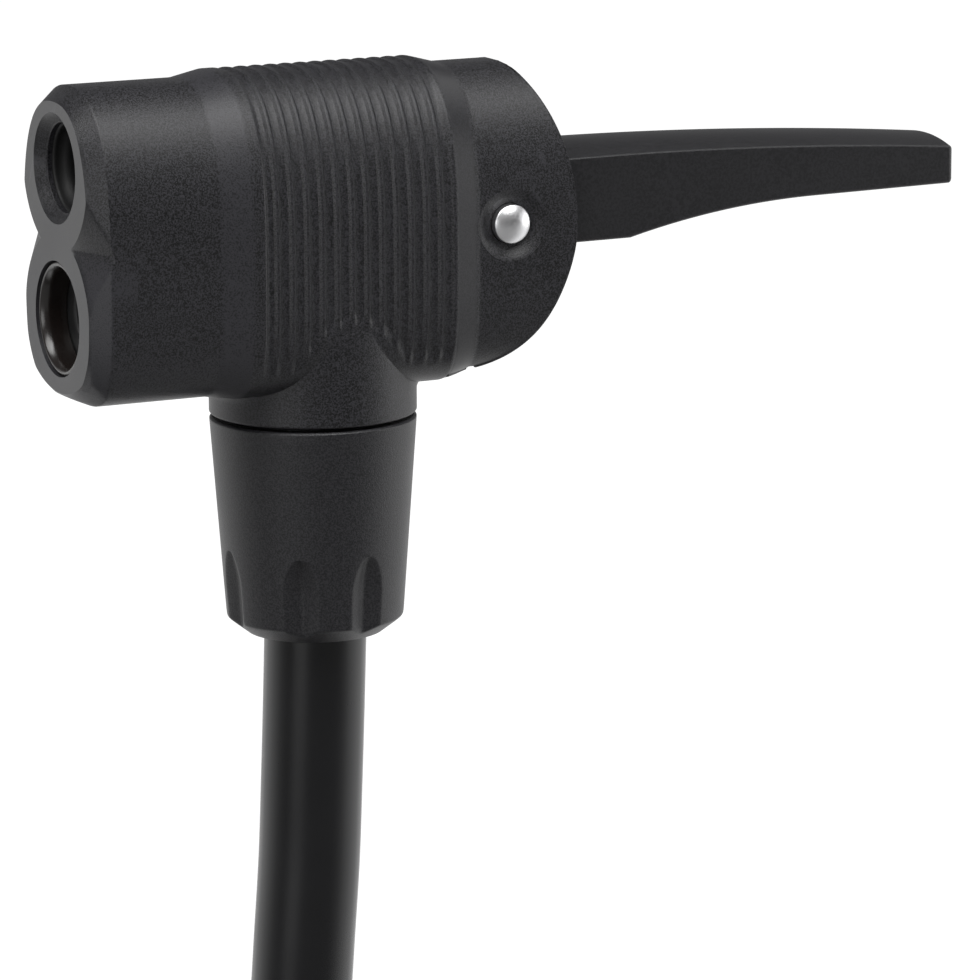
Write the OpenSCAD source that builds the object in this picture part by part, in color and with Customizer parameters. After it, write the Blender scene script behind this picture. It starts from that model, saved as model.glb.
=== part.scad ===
// Twin-port tyre inflator head on its hose, in millimetres.
// The origin is the centre of the Schrader grommet's mouth. +X runs back along the head to the
// lever, +Y across it and +Z up. The hose leaves downwards and ends in a coil below the head.

/* [Valve ports] */
// Distance between the Schrader port and the Presta port below it
port_pitch = 15.8; // [15:0.1:20]
// Mouth of the Schrader port
schrader_mouth_d = 11.6; // [10:0.1:12.4]
// Mouth of the Presta port
presta_mouth_d = 12.2; // [11:0.1:12.5]
// How far the grommets sit behind the front face
grommet_recess = 1.6; // [1.2:0.1:2.4]
// Outside diameter of both grommets
grommet_d = 12.8; // [12.6:0.1:14]
// Length of the Schrader grommet
grommet_len = 9; // [7:0.1:11]
// Bore of the Schrader grommet, for a 7.7 mm valve
schrader_bore_d = 8.1; // [7.6:0.1:8.6]
// Bore of the Presta grommet, for a 6 mm valve
presta_bore_d = 6.2; // [5.8:0.1:6.8]
// Length of the Presta liner's flange
liner_flange = 1.55; // [0.8:0.05:3]
// Bore of the Presta liner
liner_bore_d = 10.2; // [8:0.1:10.6]

/* [Head body] */
// Front face to the hose's axis
front_len = 29; // [27:0.1:35]
// Hose's axis to the lever's pin
pin_back = 18.7; // [18:0.1:23]
// Lever's pin to the rear end of the cheeks
rear_over = 7.7; // [6.6:0.1:10]
// Wall above and below the grommet bores
end_wall = 2; // [1.4:0.1:3]
// Wall beside the grommet bores
side_wall = 4; // [3:0.1:5]
// Depth of the bevel round the front face
face_bevel = 1.8; // [1:0.1:2.4]
// How much the bevel narrows each side of the face
bevel_side = 1.6; // [1:0.1:2.4]
// How much the bevel lowers the face's top and bottom
bevel_end = 0.75; // [0.5:0.05:2]
// How much a second bevel lowers the face's top
bevel_top = 1.55; // [0.5:0.05:2]
// How far the lobes of the front face reach from each port's axis
lobe_r = 8.9; // [8:0.1:9.8]
// Step up from the nose to the ribbed barrel
barrel_raise = 0.65; // [0.3:0.05:1.2]
// Step down from the nose to the rear cheeks
rear_drop = 0.1; // [0:0.05:0.5]
// Length of the ramp from the nose up to the barrel
ramp_len = 3.4; // [2:0.1:4]
// Number of ribs round the barrel
rib_count = 12; // [8:1:12]
// Distance from rib to rib
rib_pitch = 1.71; // [1.4:0.01:1.8]
// Width of a rib
rib_w = 0.5; // [0.3:0.05:0.8]
// Height of a rib
rib_h = 0.25; // [0.1:0.05:0.4]
// Radius of the upper rear outline
rear_top_r = 29; // [24:0.5:40]

/* [Hose boss and nut] */
// Diameter of the boss and of the nut's top
boss_d = 22.2; // [20:0.1:23]
// Head's centre line down to the nut
boss_drop = 20.1; // [19.5:0.1:24]
// Length of the nut
nut_len = 23.4; // [21:0.1:28]
// Diameter of the nut's lower end
nut_end_d = 19; // [18:0.1:20]
// Length of a flute
flute_len = 9.5; // [6:0.1:12]
// Diameter of the boss's threaded spigot
spigot_d = 16.8; // [16:0.1:17.4]
// Length of the spigot
spigot_len = 13.5; // [12:0.1:15]
// Bore of the hose barb
barb_bore_d = 3.2; // [2:0.1:3.6]

/* [Lever and clamp] */
// Diameter of the lever's pin
pin_d = 4.2; // [3.6:0.1:5]
// Pin to the lever's tip
lever_len = 56.7; // [50:0.1:68]
// Width of the lever's root
lever_w = 14; // [12:0.1:14.8]
// Width of the lever's tip
tip_w = 12; // [10:0.1:13]
// Height of the lever's top above the pin
lever_top = 7.2; // [6.8:0.1:7.6]
// Depth of the lever's root below the pin
lever_low = 3.2; // [2.8:0.1:4]
// Cam's reach when the head is clamped
cam_reach = 7.3; // [6.9:0.1:7.5]
// How far the clamp travels
clamp_travel = 2; // [1:0.1:2.4]

/* [Hose] */
// Outside diameter of the hose
hose_d = 11; // [10:0.1:11.2]
// Bore of the hose
hose_bore_d = 6; // [5:0.1:6.4]
// Turns in the coil
coil_turns = 2.25; // [1.25:0.5:3.25]
// Radius at which the coil starts
coil_start_r = 46; // [42:1:60]
// Growth of the coil's radius in each turn
coil_pitch = 12.6; // [12.4:0.1:16]
// Length of the crimped ferrule on the pump's end
ferrule_len = 16; // [12:0.5:24]
// Outside diameter of the pump end's G 1/8 thread
thread_d = 9.7; // [9:0.1:10]

/* [Fits] */
// Radial clearance of parts that sit in bores
seat_gap = 0.1; // [0.05:0.01:0.2]
// Radial clearance of the lever on its pin
pin_gap = 0.04; // [0.02:0.01:0.08]
// Clearance between the lever and the cheeks
side_gap = 0.3; // [0.2:0.05:0.6]
// Gap between faces that meet
face_gap = 0.05; // [0.02:0.01:0.1]
// Gap between the boss and the nut
nut_gap = 0.4; // [0.2:0.05:0.8]

/* [Hidden] */
$fn = 64;
OVER = 1; // how far a cutter runs past the face it cuts

// Places along the head
face_x = -grommet_recess;
hose_x = face_x + front_len;
pin_x = hose_x + pin_back;
rear_x = pin_x + rear_over;
mid_z = -port_pitch / 2;

// Cross-sections: half widths, half heights and the exponents of the oval above and below
bore_r = grommet_d / 2 + seat_gap;
nose_a = bore_r + side_wall;
nose_b = port_pitch / 2 + bore_r + end_wall;
barrel_a = nose_a + barrel_raise;
barrel_b = nose_b + barrel_raise;
rear_a = nose_a - rear_drop;
rear_b = nose_b - rear_drop;
OVAL_TOP = 2.5;
OVAL_LOW = 4.5;
OVAL_STEPS = 48;

// Stations along the head
barrel_x0 = hose_x - (rib_count + 1.4) * rib_pitch / 2;
ramp_x0 = barrel_x0 - ramp_len;
barrel_x1 = hose_x + (rib_count + 1.1) * rib_pitch / 2;
rear_ramp_len = 3.2;
rear_x0 = barrel_x1 + rear_ramp_len;
first_rib_x = hose_x - (rib_count - 1) * rib_pitch / 2 + 0.6;

// Clamp: everything behind the grommets, from front to back
washer_len = 1.2;
washer_x = grommet_len + face_gap;
plunger_x = washer_x + washer_len + face_gap;
cam_plate_len = 0.8;
plate_x = pin_x - cam_reach - face_gap - cam_plate_len;
sleeve_len = 4;
sleeve_r = grommet_d / 2 - seat_gap;
plate_gap = 0.6;
end_play = 0.3;
block_gap = 1.2;
block_lead = 5;
seal_len = 2;
seal_land = 0.8;
seal_step = 1;
chamber_x = plunger_x + sleeve_len;
chamber_end_x = plate_x - plate_gap;
block_x = chamber_x + block_gap;
block_end_x = chamber_end_x - clamp_travel - end_play;
waist_x0 = block_x + block_lead;
seal_x = block_end_x - seal_len - seal_land;
waist_x1 = seal_x - seal_step;
waist_wall = 1.2;
seal_depth = 1.2;

// Poppets inside the plunger
poppet_seat_depth = 4.8;
poppet_seat_x = plunger_x + poppet_seat_depth;
poppet_seat_len = 1.8;
poppet_seat_r = 2.1;
poppet_stem_r = 1.5;
poppet_tip_gap = 0.3;
poppet_tip_x = grommet_len + poppet_tip_gap;
poppet_head_r = 2.9;
poppet_head_len = 1.6;
poppet_seal_len = 0.7;
poppet_bore_r = 3.4;
poppet_travel = 2;
plug_len = 2;
plug_wall = 0.4;
plug_x = waist_x1 - plug_len - plug_wall;
spring_r = 2.7;
spring_wall = 0.7;

// Hose joint under the boss, measured down from the head's centre line
boss_r = boss_d / 2;
boss_z = mid_z - boss_drop;
nut_top_z = boss_z - nut_gap;
nut_end_z = nut_top_z - nut_len;
spigot_z = boss_z - spigot_len;
air_r = 2.4;
barb_flange_r = hose_d / 2 - 0.1;
shoulder_z = boss_z - 1;
ring_d = 1.6;
flange_top_z = shoulder_z - ring_d - 2 * face_gap;
flange_len = 1.4;
hose_top_z = flange_top_z - flange_len - face_gap;
barb_tail_len = 14;
collet_drop = 0.3;
collet_top_z = spigot_z - collet_drop;
collet_len = 4.6;
collet_wall = 1;
cone_gap = 0.3;
nut_thread_r = spigot_d / 2 + seat_gap;
nut_travel = 6;

// Slot for the lever between the cheeks
slot_half = lever_w / 2 + side_gap;
slot_top_gap = 0.5;
slot_floor_gap = 0.8;
slot_low_gap = 0.6;
slot_top_z = mid_z + lever_top + slot_top_gap;
slot_floor_z = mid_z - cam_reach - slot_floor_gap;
slot_low_x = pin_x - lever_low - slot_low_gap;
pin_over = 0.7;
pin_half = rear_a + pin_over;
dish_r = 3.9;
dish_depth = 0.7;

// The oval outline of the head: y across and z up, with its own exponent below the middle
function oval_power(v, p) = sign(v) * pow(abs(v), 2 / p);
function oval_point(a, b, t) =
    let (p = sin(t) > 0 ? OVAL_TOP : OVAL_LOW) [a * oval_power(cos(t), p), b * oval_power(sin(t), p)];
function oval(a, b) = [for (i = [0 : OVAL_STEPS - 1]) oval_point(a, b, (i + 0.5) * 360 / OVAL_STEPS)];

// Raises a y-z outline along +X, from x over len
module along_x(x, len) {
    translate([x, 0, mid_z]) rotate([90, 0, 90]) linear_extrude(len) children();
}

module oval_bar(x, len, a, b) {
    along_x(x, len) polygon(oval(a, b));
}

// Blends one oval section into the next
module oval_blend(x, len, a0, b0, a1, b1) {
    skin = 0.01;
    hull() {
        oval_bar(x, skin, a0, b0);
        oval_bar(x + len - skin, skin, a1, b1);
    }
}

module rod_x(x, len, r, z = 0) {
    translate([x, 0, z]) rotate([0, 90, 0]) cylinder(h = len, r = r);
}

module cone_x(x, len, r0, r1, z = 0) {
    translate([x, 0, z]) rotate([0, 90, 0]) cylinder(h = len, r1 = r0, r2 = r1);
}

module tube_x(x, len, r, bore, z = 0) {
    difference() {
        rod_x(x, len, r, z);
        rod_x(x - OVER, len + 2 * OVER, bore, z);
    }
}

module rod_y(len, r) {
    rotate([90, 0, 0]) cylinder(h = len, r = r, center = true);
}

module rod_down(z, len, r) {
    translate([hose_x, 0, z - len]) cylinder(h = len, r = r);
}

// A bar whose outline is two round ends a port pitch apart, a little waisted between them
module race_bar(x, len, r) {
    waist = 0.15;
    rod_x(x, len, r, 0);
    rod_x(x, len, r, -port_pitch);
    translate([x, waist - r, -port_pitch]) cube([len, 2 * (r - waist), port_pitch]);
}

// ---- Head ----

// The nose, with its bevelled face waisted between the two ports
module nose() {
    lobe_len = 4;
    lobe_flare = 7.4;
    difference() {
        intersection() {
            union() {
                oval_blend(face_x, face_bevel, nose_a - bevel_side, nose_b - bevel_end, nose_a, nose_b);
                oval_bar(face_x + face_bevel, lobe_len, nose_a, nose_b);
            }
            union() {
                for (z = [0, -port_pitch]) cone_x(face_x, lobe_len, lobe_r, lobe_r + lobe_flare, z);
            }
        }
        // Flat bevel above the upper port
        translate([face_x, nose_a, mid_z + nose_b - bevel_top]) rotate([90, 0, 0])
            linear_extrude(2 * nose_a) polygon([[-face_bevel, -bevel_top], [2 * face_bevel, 2 * bevel_top],
                                                [-face_bevel, 2 * bevel_top]]);
    }
    oval_bar(face_x + lobe_len, ramp_x0 - face_x - lobe_len, nose_a, nose_b);
}

module barrel() {
    oval_blend(ramp_x0, ramp_len, nose_a, nose_b, barrel_a - rib_h, barrel_b - rib_h);
    oval_bar(barrel_x0, barrel_x1 - barrel_x0, barrel_a - rib_h, barrel_b - rib_h);
    for (i = [0 : rib_count - 1])
        oval_bar(first_rib_x + i * rib_pitch - rib_w / 2, rib_w, barrel_a, barrel_b);
    oval_blend(barrel_x1, rear_ramp_len, barrel_a - rib_h, barrel_b - rib_h, rear_a, rear_b);
}

// Side view of the rear end: a shallow arc above and a rounder one below
module rear_outline() {
    low_z = -1.5;
    low_r = rear_b + low_z;
    reach = rear_x - rear_x0 + OVER;
    intersection() {
        union() {
            intersection() {
                translate([rear_x - rear_top_r, 0]) circle(rear_top_r, $fn = 128);
                translate([rear_x - reach, low_z]) square([reach, rear_b + OVER]);
            }
            translate([rear_x - low_r, low_z]) circle(low_r, $fn = 128);
            translate([rear_x - reach, -rear_b - OVER])
                square([max(reach - low_r, OVER), rear_b + OVER]);
        }
        translate([rear_x0 - OVER, -rear_b - OVER]) square([reach, 2 * rear_b + 2 * OVER]);
    }
}

module rear_end() {
    intersection() {
        oval_bar(rear_x0, rear_x - rear_x0, rear_a, rear_b);
        translate([0, nose_a, mid_z]) rotate([90, 0, 0]) linear_extrude(2 * nose_a) rear_outline();
    }
}

// Slot for the lever: open to the rear and, behind the cam, to the underside
module lever_slot() {
    long = rear_over + cam_reach + 10;
    translate([chamber_end_x, -slot_half, slot_floor_z])
        cube([long, 2 * slot_half, slot_top_z - slot_floor_z]);
    translate([slot_low_x, -slot_half, mid_z - 2 * rear_b])
        cube([long, 2 * slot_half, 2 * rear_b]);
}

// A shallow round dish in each cheek, round the end of the pin
module pin_dishes() {
    ball_r = (dish_r * dish_r + dish_depth * dish_depth) / (2 * dish_depth);
    for (side = [-1, 1])
        translate([pin_x, side * (rear_a - dish_depth + ball_r), mid_z]) sphere(ball_r, $fn = 96);
}

module head_body() {
    color([0.09, 0.09, 0.1]) difference() {
        union() {
            nose();
            barrel();
            rear_end();
            rod_down(mid_z, boss_drop, boss_r);
            rod_down(boss_z + 1, spigot_len + 1, spigot_d / 2);
        }
        // Schrader mouth, countersunk towards its grommet
        cone_x(face_x - 0.01, grommet_recess - 0.3, schrader_mouth_d / 2, schrader_bore_d / 2 + 0.5);
        rod_x(face_x, grommet_recess + OVER, schrader_bore_d / 2 + 0.5);
        // Presta mouth, straight for its liner
        rod_x(face_x - OVER, grommet_recess + 2 * OVER, presta_mouth_d / 2, -port_pitch);
        for (z = [0, -port_pitch]) rod_x(0, chamber_x + OVER, bore_r, z);
        race_bar(chamber_x, chamber_end_x - chamber_x + OVER, bore_r);
        lever_slot();
        pin_dishes();
        translate([pin_x, 0, mid_z]) rod_y(3 * rear_a, pin_d / 2 + pin_gap);
        // Air way up from the hose, and the socket for the barb
        rod_down(mid_z, boss_drop + OVER, air_r);
        rod_down(shoulder_z, spigot_len, hose_d / 2 + seat_gap);
    }
}

// ---- Seals in the ports ----

module schrader_grommet() {
    lead_in = 0.4;
    color([0.05, 0.05, 0.05]) difference() {
        rod_x(0, grommet_len, grommet_d / 2);
        rod_x(-OVER, grommet_len + 2 * OVER, schrader_bore_d / 2);
        cone_x(grommet_len - lead_in, lead_in + 0.01, schrader_bore_d / 2, schrader_bore_d / 2 + lead_in);
    }
}

module presta_grommet() {
    lead_in = 0.6;
    start = liner_flange + face_gap;
    color([0.05, 0.05, 0.05]) difference() {
        rod_x(start, grommet_len - start, grommet_d / 2, -port_pitch);
        rod_x(-OVER, grommet_len + 2 * OVER, presta_bore_d / 2, -port_pitch);
        cone_x(grommet_len - lead_in, lead_in + 0.01, presta_bore_d / 2, presta_bore_d / 2 + lead_in,
               -port_pitch);
    }
}

// Glossy ring that guides a slim valve into the lower port
module presta_liner() {
    lip = grommet_recess - 0.5;
    flare = 0.35;
    color([0.03, 0.03, 0.03]) difference() {
        union() {
            rod_x(0, liner_flange, grommet_d / 2, -port_pitch);
            rod_x(-lip, lip + liner_flange, presta_mouth_d / 2 - seat_gap, -port_pitch);
        }
        rod_x(-lip - OVER, lip + liner_flange + 2 * OVER, liner_bore_d / 2, -port_pitch);
        cone_x(-lip - 0.01, lip, liner_bore_d / 2 + flare, liner_bore_d / 2, -port_pitch);
    }
}

// ---- Clamp ----

module thrust_washers() {
    color([0.85, 0.85, 0.8])
        for (z = [0, -port_pitch]) tube_x(washer_x, washer_len, sleeve_r, schrader_bore_d / 2 + 0.4, z);
}

// Pushes both grommets together, and carries the poppets
module clamp_plunger() {
    cross_r = 1.2;
    cross_step = 1;
    lap = 0.5;
    front_gap = 0.05;
    neck_half = slot_half - side_gap - 1;
    neck_h = port_pitch - 2.4;
    color([0.8, 0.8, 0.76]) difference() {
        union() {
            for (z = [0, -port_pitch]) rod_x(plunger_x, block_x + lap - plunger_x, sleeve_r - front_gap, z);
            race_bar(block_x, waist_x0 - block_x, sleeve_r);
            race_bar(waist_x0 - lap, waist_x1 - waist_x0 + 2 * lap, poppet_bore_r + waist_wall);
            race_bar(waist_x1, seal_x - waist_x1, sleeve_r);
            race_bar(seal_x - lap, seal_len + 2 * lap, sleeve_r - seal_depth);
            race_bar(seal_x + seal_len, block_end_x - seal_x - seal_len, sleeve_r);
            translate([block_end_x - lap, -neck_half, mid_z - neck_h / 2])
                cube([plate_x - face_gap - block_end_x + lap, 2 * neck_half, neck_h]);
        }
        for (z = [0, -port_pitch]) {
            rod_x(plunger_x - OVER, poppet_seat_x - plunger_x + OVER, poppet_bore_r, z);
            rod_x(poppet_seat_x - OVER, poppet_seat_len + 2 * OVER, poppet_seat_r, z);
            rod_x(poppet_seat_x + poppet_seat_len, plug_x + plug_len - poppet_seat_x - poppet_seat_len,
                  poppet_bore_r, z);
        }
        // Cross holes from the gallery into each spring chamber
        for (z = [0, -port_pitch])
            translate([(waist_x0 + plug_x) / 2 - cross_step, 0, z]) rod_y(4 * bore_r, cross_r);
    }
}

// Rubber ring round the plunger, in the shape of its two round ends
module plunger_seal() {
    color([0.06, 0.06, 0.06]) difference() {
        race_bar(seal_x + face_gap, seal_len - 2 * face_gap, bore_r - face_gap);
        race_bar(seal_x - OVER, seal_len + 2 * OVER, sleeve_r - seal_depth + face_gap);
    }
}

// Steel plate that the cam bears on
module cam_plate() {
    edge = 0.4;
    slot_play = 1.2;
    plate_half = min(slot_half - slot_play, sleeve_r - edge / 2);
    color([0.7, 0.7, 0.72])
        translate([plate_x, -plate_half, mid_z - cam_reach + edge])
            cube([cam_plate_len, 2 * plate_half, 2 * (cam_reach - edge)]);
}

module poppet(z) {
    head_x = poppet_seat_x + poppet_seat_len + poppet_seal_len + 2 * face_gap;
    tail = 2;
    tail_gap = 0.2;
    lap = 0.1;
    color([0.8, 0.66, 0.35]) {
        rod_x(poppet_tip_x, head_x - poppet_tip_x + lap, poppet_stem_r, z);
        rod_x(head_x, poppet_head_len, poppet_head_r, z);
        rod_x(head_x, poppet_head_len + tail, spring_r - spring_wall - tail_gap, z);
    }
}

module poppet_seal(z) {
    color([0.06, 0.06, 0.06])
        tube_x(poppet_seat_x + poppet_seat_len + face_gap, poppet_seal_len, poppet_head_r,
               poppet_stem_r + face_gap, z);
}

module poppet_spring(z) {
    start = poppet_seat_x + poppet_seat_len + poppet_seal_len + poppet_head_len + 4 * face_gap;
    color([0.75, 0.75, 0.78]) tube_x(start, plug_x - face_gap - start, spring_r, spring_r - spring_wall, z);
}

module schrader_poppet() { poppet(0); }

module schrader_poppet_seal() { poppet_seal(0); }

module schrader_spring() { poppet_spring(0); }

module presta_poppet() { poppet(-port_pitch); }

module presta_poppet_seal() { poppet_seal(-port_pitch); }

module presta_spring() { poppet_spring(-port_pitch); }

// Plugs that close the spring chambers
module spring_plugs() {
    color([0.8, 0.8, 0.76]) for (z = [0, -port_pitch]) rod_x(plug_x, plug_len, poppet_bore_r - face_gap, z);
}

// ---- Lever ----

// Distance from the pin to a flat follower that faces the angle t. It falls steadily, so the
// clamp's travel keeps a constant ratio to the lever's turn.
function cam_height(t) = cam_reach - clamp_travel * t / 90;
function cam_point(t) =
    let (h = cam_height(t), slope = -clamp_travel / 90 * 180 / PI)
    [-h * cos(t) + slope * sin(t), -h * sin(t) - slope * cos(t)];

// The cam's side view: the steady curve in front, closed behind inside the arm's root
CAM_BACK = [[0, -3.6], [3, 0], [0, cam_reach - 1]];
function cam_outline() = concat([for (t = [0 : 6 : 96]) cam_point(t)], CAM_BACK);

// The arm's side view: a long shallow crown above, and a hollow below for the fingers
module arm_outline() {
    crown_r = 425;
    low_x = 16;
    hollow_r = 100;
    hollow_dx = 23;
    tip_low = -0.2;
    top = function(x) lever_top - pow(x - 8, 2) / (2 * crown_r);
    hollow = function(x) -lever_low + (x <= low_x ? 0
        : hollow_r * (1 - cos(asin(hollow_dx / hollow_r)))
          - hollow_r * (1 - cos(asin(max(hollow_dx + low_x - x, 0) / hollow_r))));
    rise = tip_low + lever_low - hollow_r * (1 - cos(asin(hollow_dx / hollow_r)));
    root_top = [[-2, lever_top - 1.6], [1, lever_top - 0.4]];
    tip_end = [[lever_len, top(lever_len) - 0.4], [lever_len, 0.5]];
    polygon(concat(
        root_top,
        [for (x = [4 : 4 : lever_len - 2]) [x, top(x)]],
        tip_end,
        [for (x = [lever_len - 1 : -3 : low_x + 1])
            [x, hollow(x) + rise * min((x - low_x) / (lever_len - low_x), 1)]],
        [[low_x, -lever_low], [0, -lever_low]]));
}

module cam_lever() {
    crown_r = 20;
    crown_tilt = 2.4;
    crown_over = 0.3;
    taper_x = 10;
    color([0.09, 0.09, 0.1]) difference() {
        translate([pin_x, 0, mid_z]) intersection() {
            union() {
                rotate([90, 0, 0]) linear_extrude(lever_w, center = true) polygon(cam_outline());
                rotate([90, 0, 0]) linear_extrude(lever_w, center = true) arm_outline();
            }
            // Plan view, tapering to the tip
            translate([0, 0, -2 * cam_reach]) linear_extrude(4 * cam_reach)
                polygon([[-2 * cam_reach, -lever_w / 2], [taper_x, -lever_w / 2],
                         [lever_len + OVER, -tip_w / 2], [lever_len + OVER, tip_w / 2],
                         [taper_x, lever_w / 2], [-2 * cam_reach, lever_w / 2]]);
            // Crown across the top
            translate([0, 0, lever_top + crown_over - crown_r]) rotate([0, 90 + crown_tilt, 0])
                cylinder(h = 3 * lever_len, r = crown_r, center = true, $fn = 128);
        }
        translate([pin_x, 0, mid_z]) rod_y(2 * lever_w, pin_d / 2 + pin_gap);
    }
}

// Steel pin with a domed end in each cheek's dish
module pivot_pin() {
    dome = 0.7;
    ball_r = (pow(pin_d / 2, 2) + dome * dome) / (2 * dome);
    color([0.85, 0.85, 0.87]) translate([pin_x, 0, mid_z]) {
        rod_y(2 * (pin_half - dome), pin_d / 2);
        for (side = [-1, 1])
            intersection() {
                translate([0, side * (pin_half - ball_r), 0]) sphere(ball_r, $fn = 64);
                translate([0, side * (pin_half - dome / 2), 0]) rod_y(dome + 0.02, pin_d / 2);
            }
    }
}

// ---- Hose joint ----

module hose_barb() {
    ridge_count = 3;
    ridge_pitch = 3.6;
    ridge_len = 1.6;
    ridge_start = 3;
    tail_r = hose_bore_d / 2 - 0.5;
    ridge_r = hose_bore_d / 2 - 0.05;
    color([0.8, 0.66, 0.35]) difference() {
        union() {
            rod_down(flange_top_z, flange_len, barb_flange_r);
            rod_down(flange_top_z, flange_len + barb_tail_len, tail_r);
            for (i = [0 : ridge_count - 1])
                translate([hose_x, 0, hose_top_z - ridge_start - i * ridge_pitch - ridge_len])
                    cylinder(h = ridge_len, r1 = tail_r, r2 = ridge_r);
        }
        rod_down(flange_top_z + OVER, flange_len + barb_tail_len + 2 * OVER, barb_bore_d / 2);
    }
}

module barb_seal() {
    color([0.06, 0.06, 0.06]) translate([hose_x, 0, shoulder_z - face_gap - ring_d / 2])
        rotate_extrude() translate([barb_flange_r - ring_d / 2 - 0.4, 0]) circle(ring_d / 2);
}

// The hose's end over the barb, down to the nut's lower face
module hose_end() {
    color([0.07, 0.07, 0.075]) difference() {
        rod_down(hose_top_z, hose_top_z - nut_end_z, hose_d / 2);
        rod_down(hose_top_z + OVER, hose_top_z - nut_end_z + 2 * OVER, hose_bore_d / 2);
    }
}

// Nylon cone that the nut presses on to the hose
module hose_collet() {
    color([0.85, 0.85, 0.8]) difference() {
        translate([hose_x, 0, collet_top_z - collet_len])
            cylinder(h = collet_len, r1 = hose_d / 2 + collet_wall, r2 = spigot_d / 2 - 2 * cone_gap);
        rod_down(collet_top_z + OVER, collet_len + 2 * OVER, hose_d / 2 + seat_gap);
    }
}

// Tapered nut with finger flutes round its lower end
module hose_nut() {
    end_bevel = 2.1;
    end_rise = 1.6;
    flute_r = 2.1;
    flute_bite = 0.95;
    // Three flutes on each side, where a thumb and a finger grip
    flute_turns = [-178.5, -123.1, -79, 1.5, 56.9, 101];
    collet_end_z = collet_top_z - collet_len;
    top_edge = 0.2;
    color([0.09, 0.09, 0.1]) difference() {
        translate([hose_x, 0, nut_end_z]) rotate_extrude($fn = 96)
            polygon([[0, 0], [nut_end_d / 2 - end_bevel, 0], [nut_end_d / 2, end_rise],
                     [boss_r, nut_len - top_edge], [boss_r - top_edge, nut_len], [0, nut_len]]);
        rod_down(nut_top_z + OVER, nut_top_z - collet_top_z + OVER, nut_thread_r);
        translate([hose_x, 0, collet_end_z - cone_gap])
            cylinder(h = collet_top_z - collet_end_z + cone_gap,
                     r1 = hose_d / 2 + collet_wall + cone_gap, r2 = nut_thread_r);
        rod_down(nut_top_z, nut_len + OVER, hose_d / 2 + cone_gap);
        for (turn = flute_turns)
            translate([hose_x, 0, nut_end_z]) rotate([0, 0, turn])
                translate([nut_end_d / 2 + flute_r - flute_bite, 0, -OVER]) {
                    cylinder(h = flute_len + OVER - flute_r, r = flute_r);
                    translate([0, 0, flute_len + OVER - flute_r]) sphere(flute_r, $fn = 48);
                }
    }
}

// ---- Free hose ----

// The hose hangs from the nut, leans forwards, turns on to the surface below it and winds into a
// flat coil. Its route down to the coil's start, as [x, z] with y = 0:
HOSE_ROUTE = [[27.4, -51.8], [27.3, -60.3], [27, -68.8], [26.6, -77.3], [25.9, -85.8], [25.1, -94.2],
              [23.8, -102.6], [21.8, -110.9], [18.9, -118.9], [14.7, -126.3], [9.4, -133],
              [3.1, -138.7], [-4, -143.3], [-11.8, -146.7], [-20.1, -148.7], [-28.6, -149.4]];
RING_STEPS = 24;
HOSE_SIDES = 12;
COIL_SIDES = 6;
// The coil's start stands this far above its turns, and sinks to them within this angle
COIL_RISE = 5;
RISE_ANGLE = 120;
coil_start = HOSE_ROUTE[len(HOSE_ROUTE) - 1];
coil_mid = [coil_start[0], coil_start_r, coil_start[1] - COIL_RISE];
end_angle = 360 * coil_turns;

function cross3(a, b) = [a[1] * b[2] - a[2] * b[1], a[2] * b[0] - a[0] * b[2], a[0] * b[1] - a[1] * b[0]];
function unit(v) = v / norm(v);

// The coil winds outwards from the point below its middle, turning towards -X first
function coil_radius(t) = coil_start_r + coil_pitch * t / 360;
function coil_height(t) = COIL_RISE * (1 + cos(180 * min(t / RISE_ANGLE, 1))) / 2;
function coil_point(t) = coil_mid + [0, 0, coil_height(t)] - coil_radius(t) * [sin(t), cos(t), 0];
coil_exit = coil_point(end_angle);
exit_heading = unit([-cos(end_angle), sin(end_angle), 0]);

// Points along a straight end, one hose diameter long, and the coil's own
coil_path = concat([for (i = [0 : round(coil_turns * RING_STEPS)]) coil_point(i * 360 / RING_STEPS)],
                   [coil_exit + exit_heading * hose_d / 2, coil_exit + exit_heading * hose_d]);

// Heading of the path p at its point i, with first and last as its headings at the two ends
function path_heading(p, i, first, last) =
    i == 0 ? first : i == len(p) - 1 ? last : unit(p[i + 1] - p[i - 1]);

// Sweeps a polygon with n sides, of the same area as a round hose, along the points p
module sweep_tube(p, n, side, first, last) {
    r = hose_d / 2 / sqrt(n * sin(360 / n) / (2 * PI));
    rings = [for (i = [0 : len(p) - 1])
        let (h = path_heading(p, i, first, last), u = unit(cross3(side, h)), v = cross3(h, u))
        for (k = [0 : n - 1]) let (a = (k + 0.5) * 360 / n) p[i] + r * (cos(a) * u + sin(a) * v)];
    count = len(p);
    start_cap = [[for (k = [0 : n - 1]) k]];
    end_cap = [[for (k = [n - 1 : -1 : 0]) (count - 1) * n + k]];
    walls = [for (i = [0 : count - 2]) for (k = [0 : n - 1])
        let (a = i * n + k, b = i * n + (k + 1) % n) each [[a, a + n, b], [b, a + n, b + n]]];
    polyhedron(points = rings, faces = concat(start_cap, walls, end_cap), convexity = 10);
}

function path_length(p, i = 0) = i >= len(p) - 1 ? 0 : norm(p[i + 1] - p[i]) + path_length(p, i + 1);

hose_path = concat([[hose_x, 0, nut_end_z]],
                   [for (q = HOSE_ROUTE) if (q[1] < nut_end_z - 2) [q[0], 0, q[1]]]);

// Least gap between turns of the coil, measured between points a turn or more apart
turn_gap = min([for (i = [0 : len(coil_path) - 1]) for (j = [0 : len(coil_path) - 1])
    if (j - i > RING_STEPS / 2) norm(coil_path[j] - coil_path[i]) - hose_d]);
echo(coil_gap = turn_gap, hose_length = path_length(hose_path) + path_length(coil_path));

module hose() {
    color([0.07, 0.07, 0.075]) sweep_tube(hose_path, HOSE_SIDES, [0, 1, 0], [0, 0, -1], [-1, 0, 0]);
}

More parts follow.
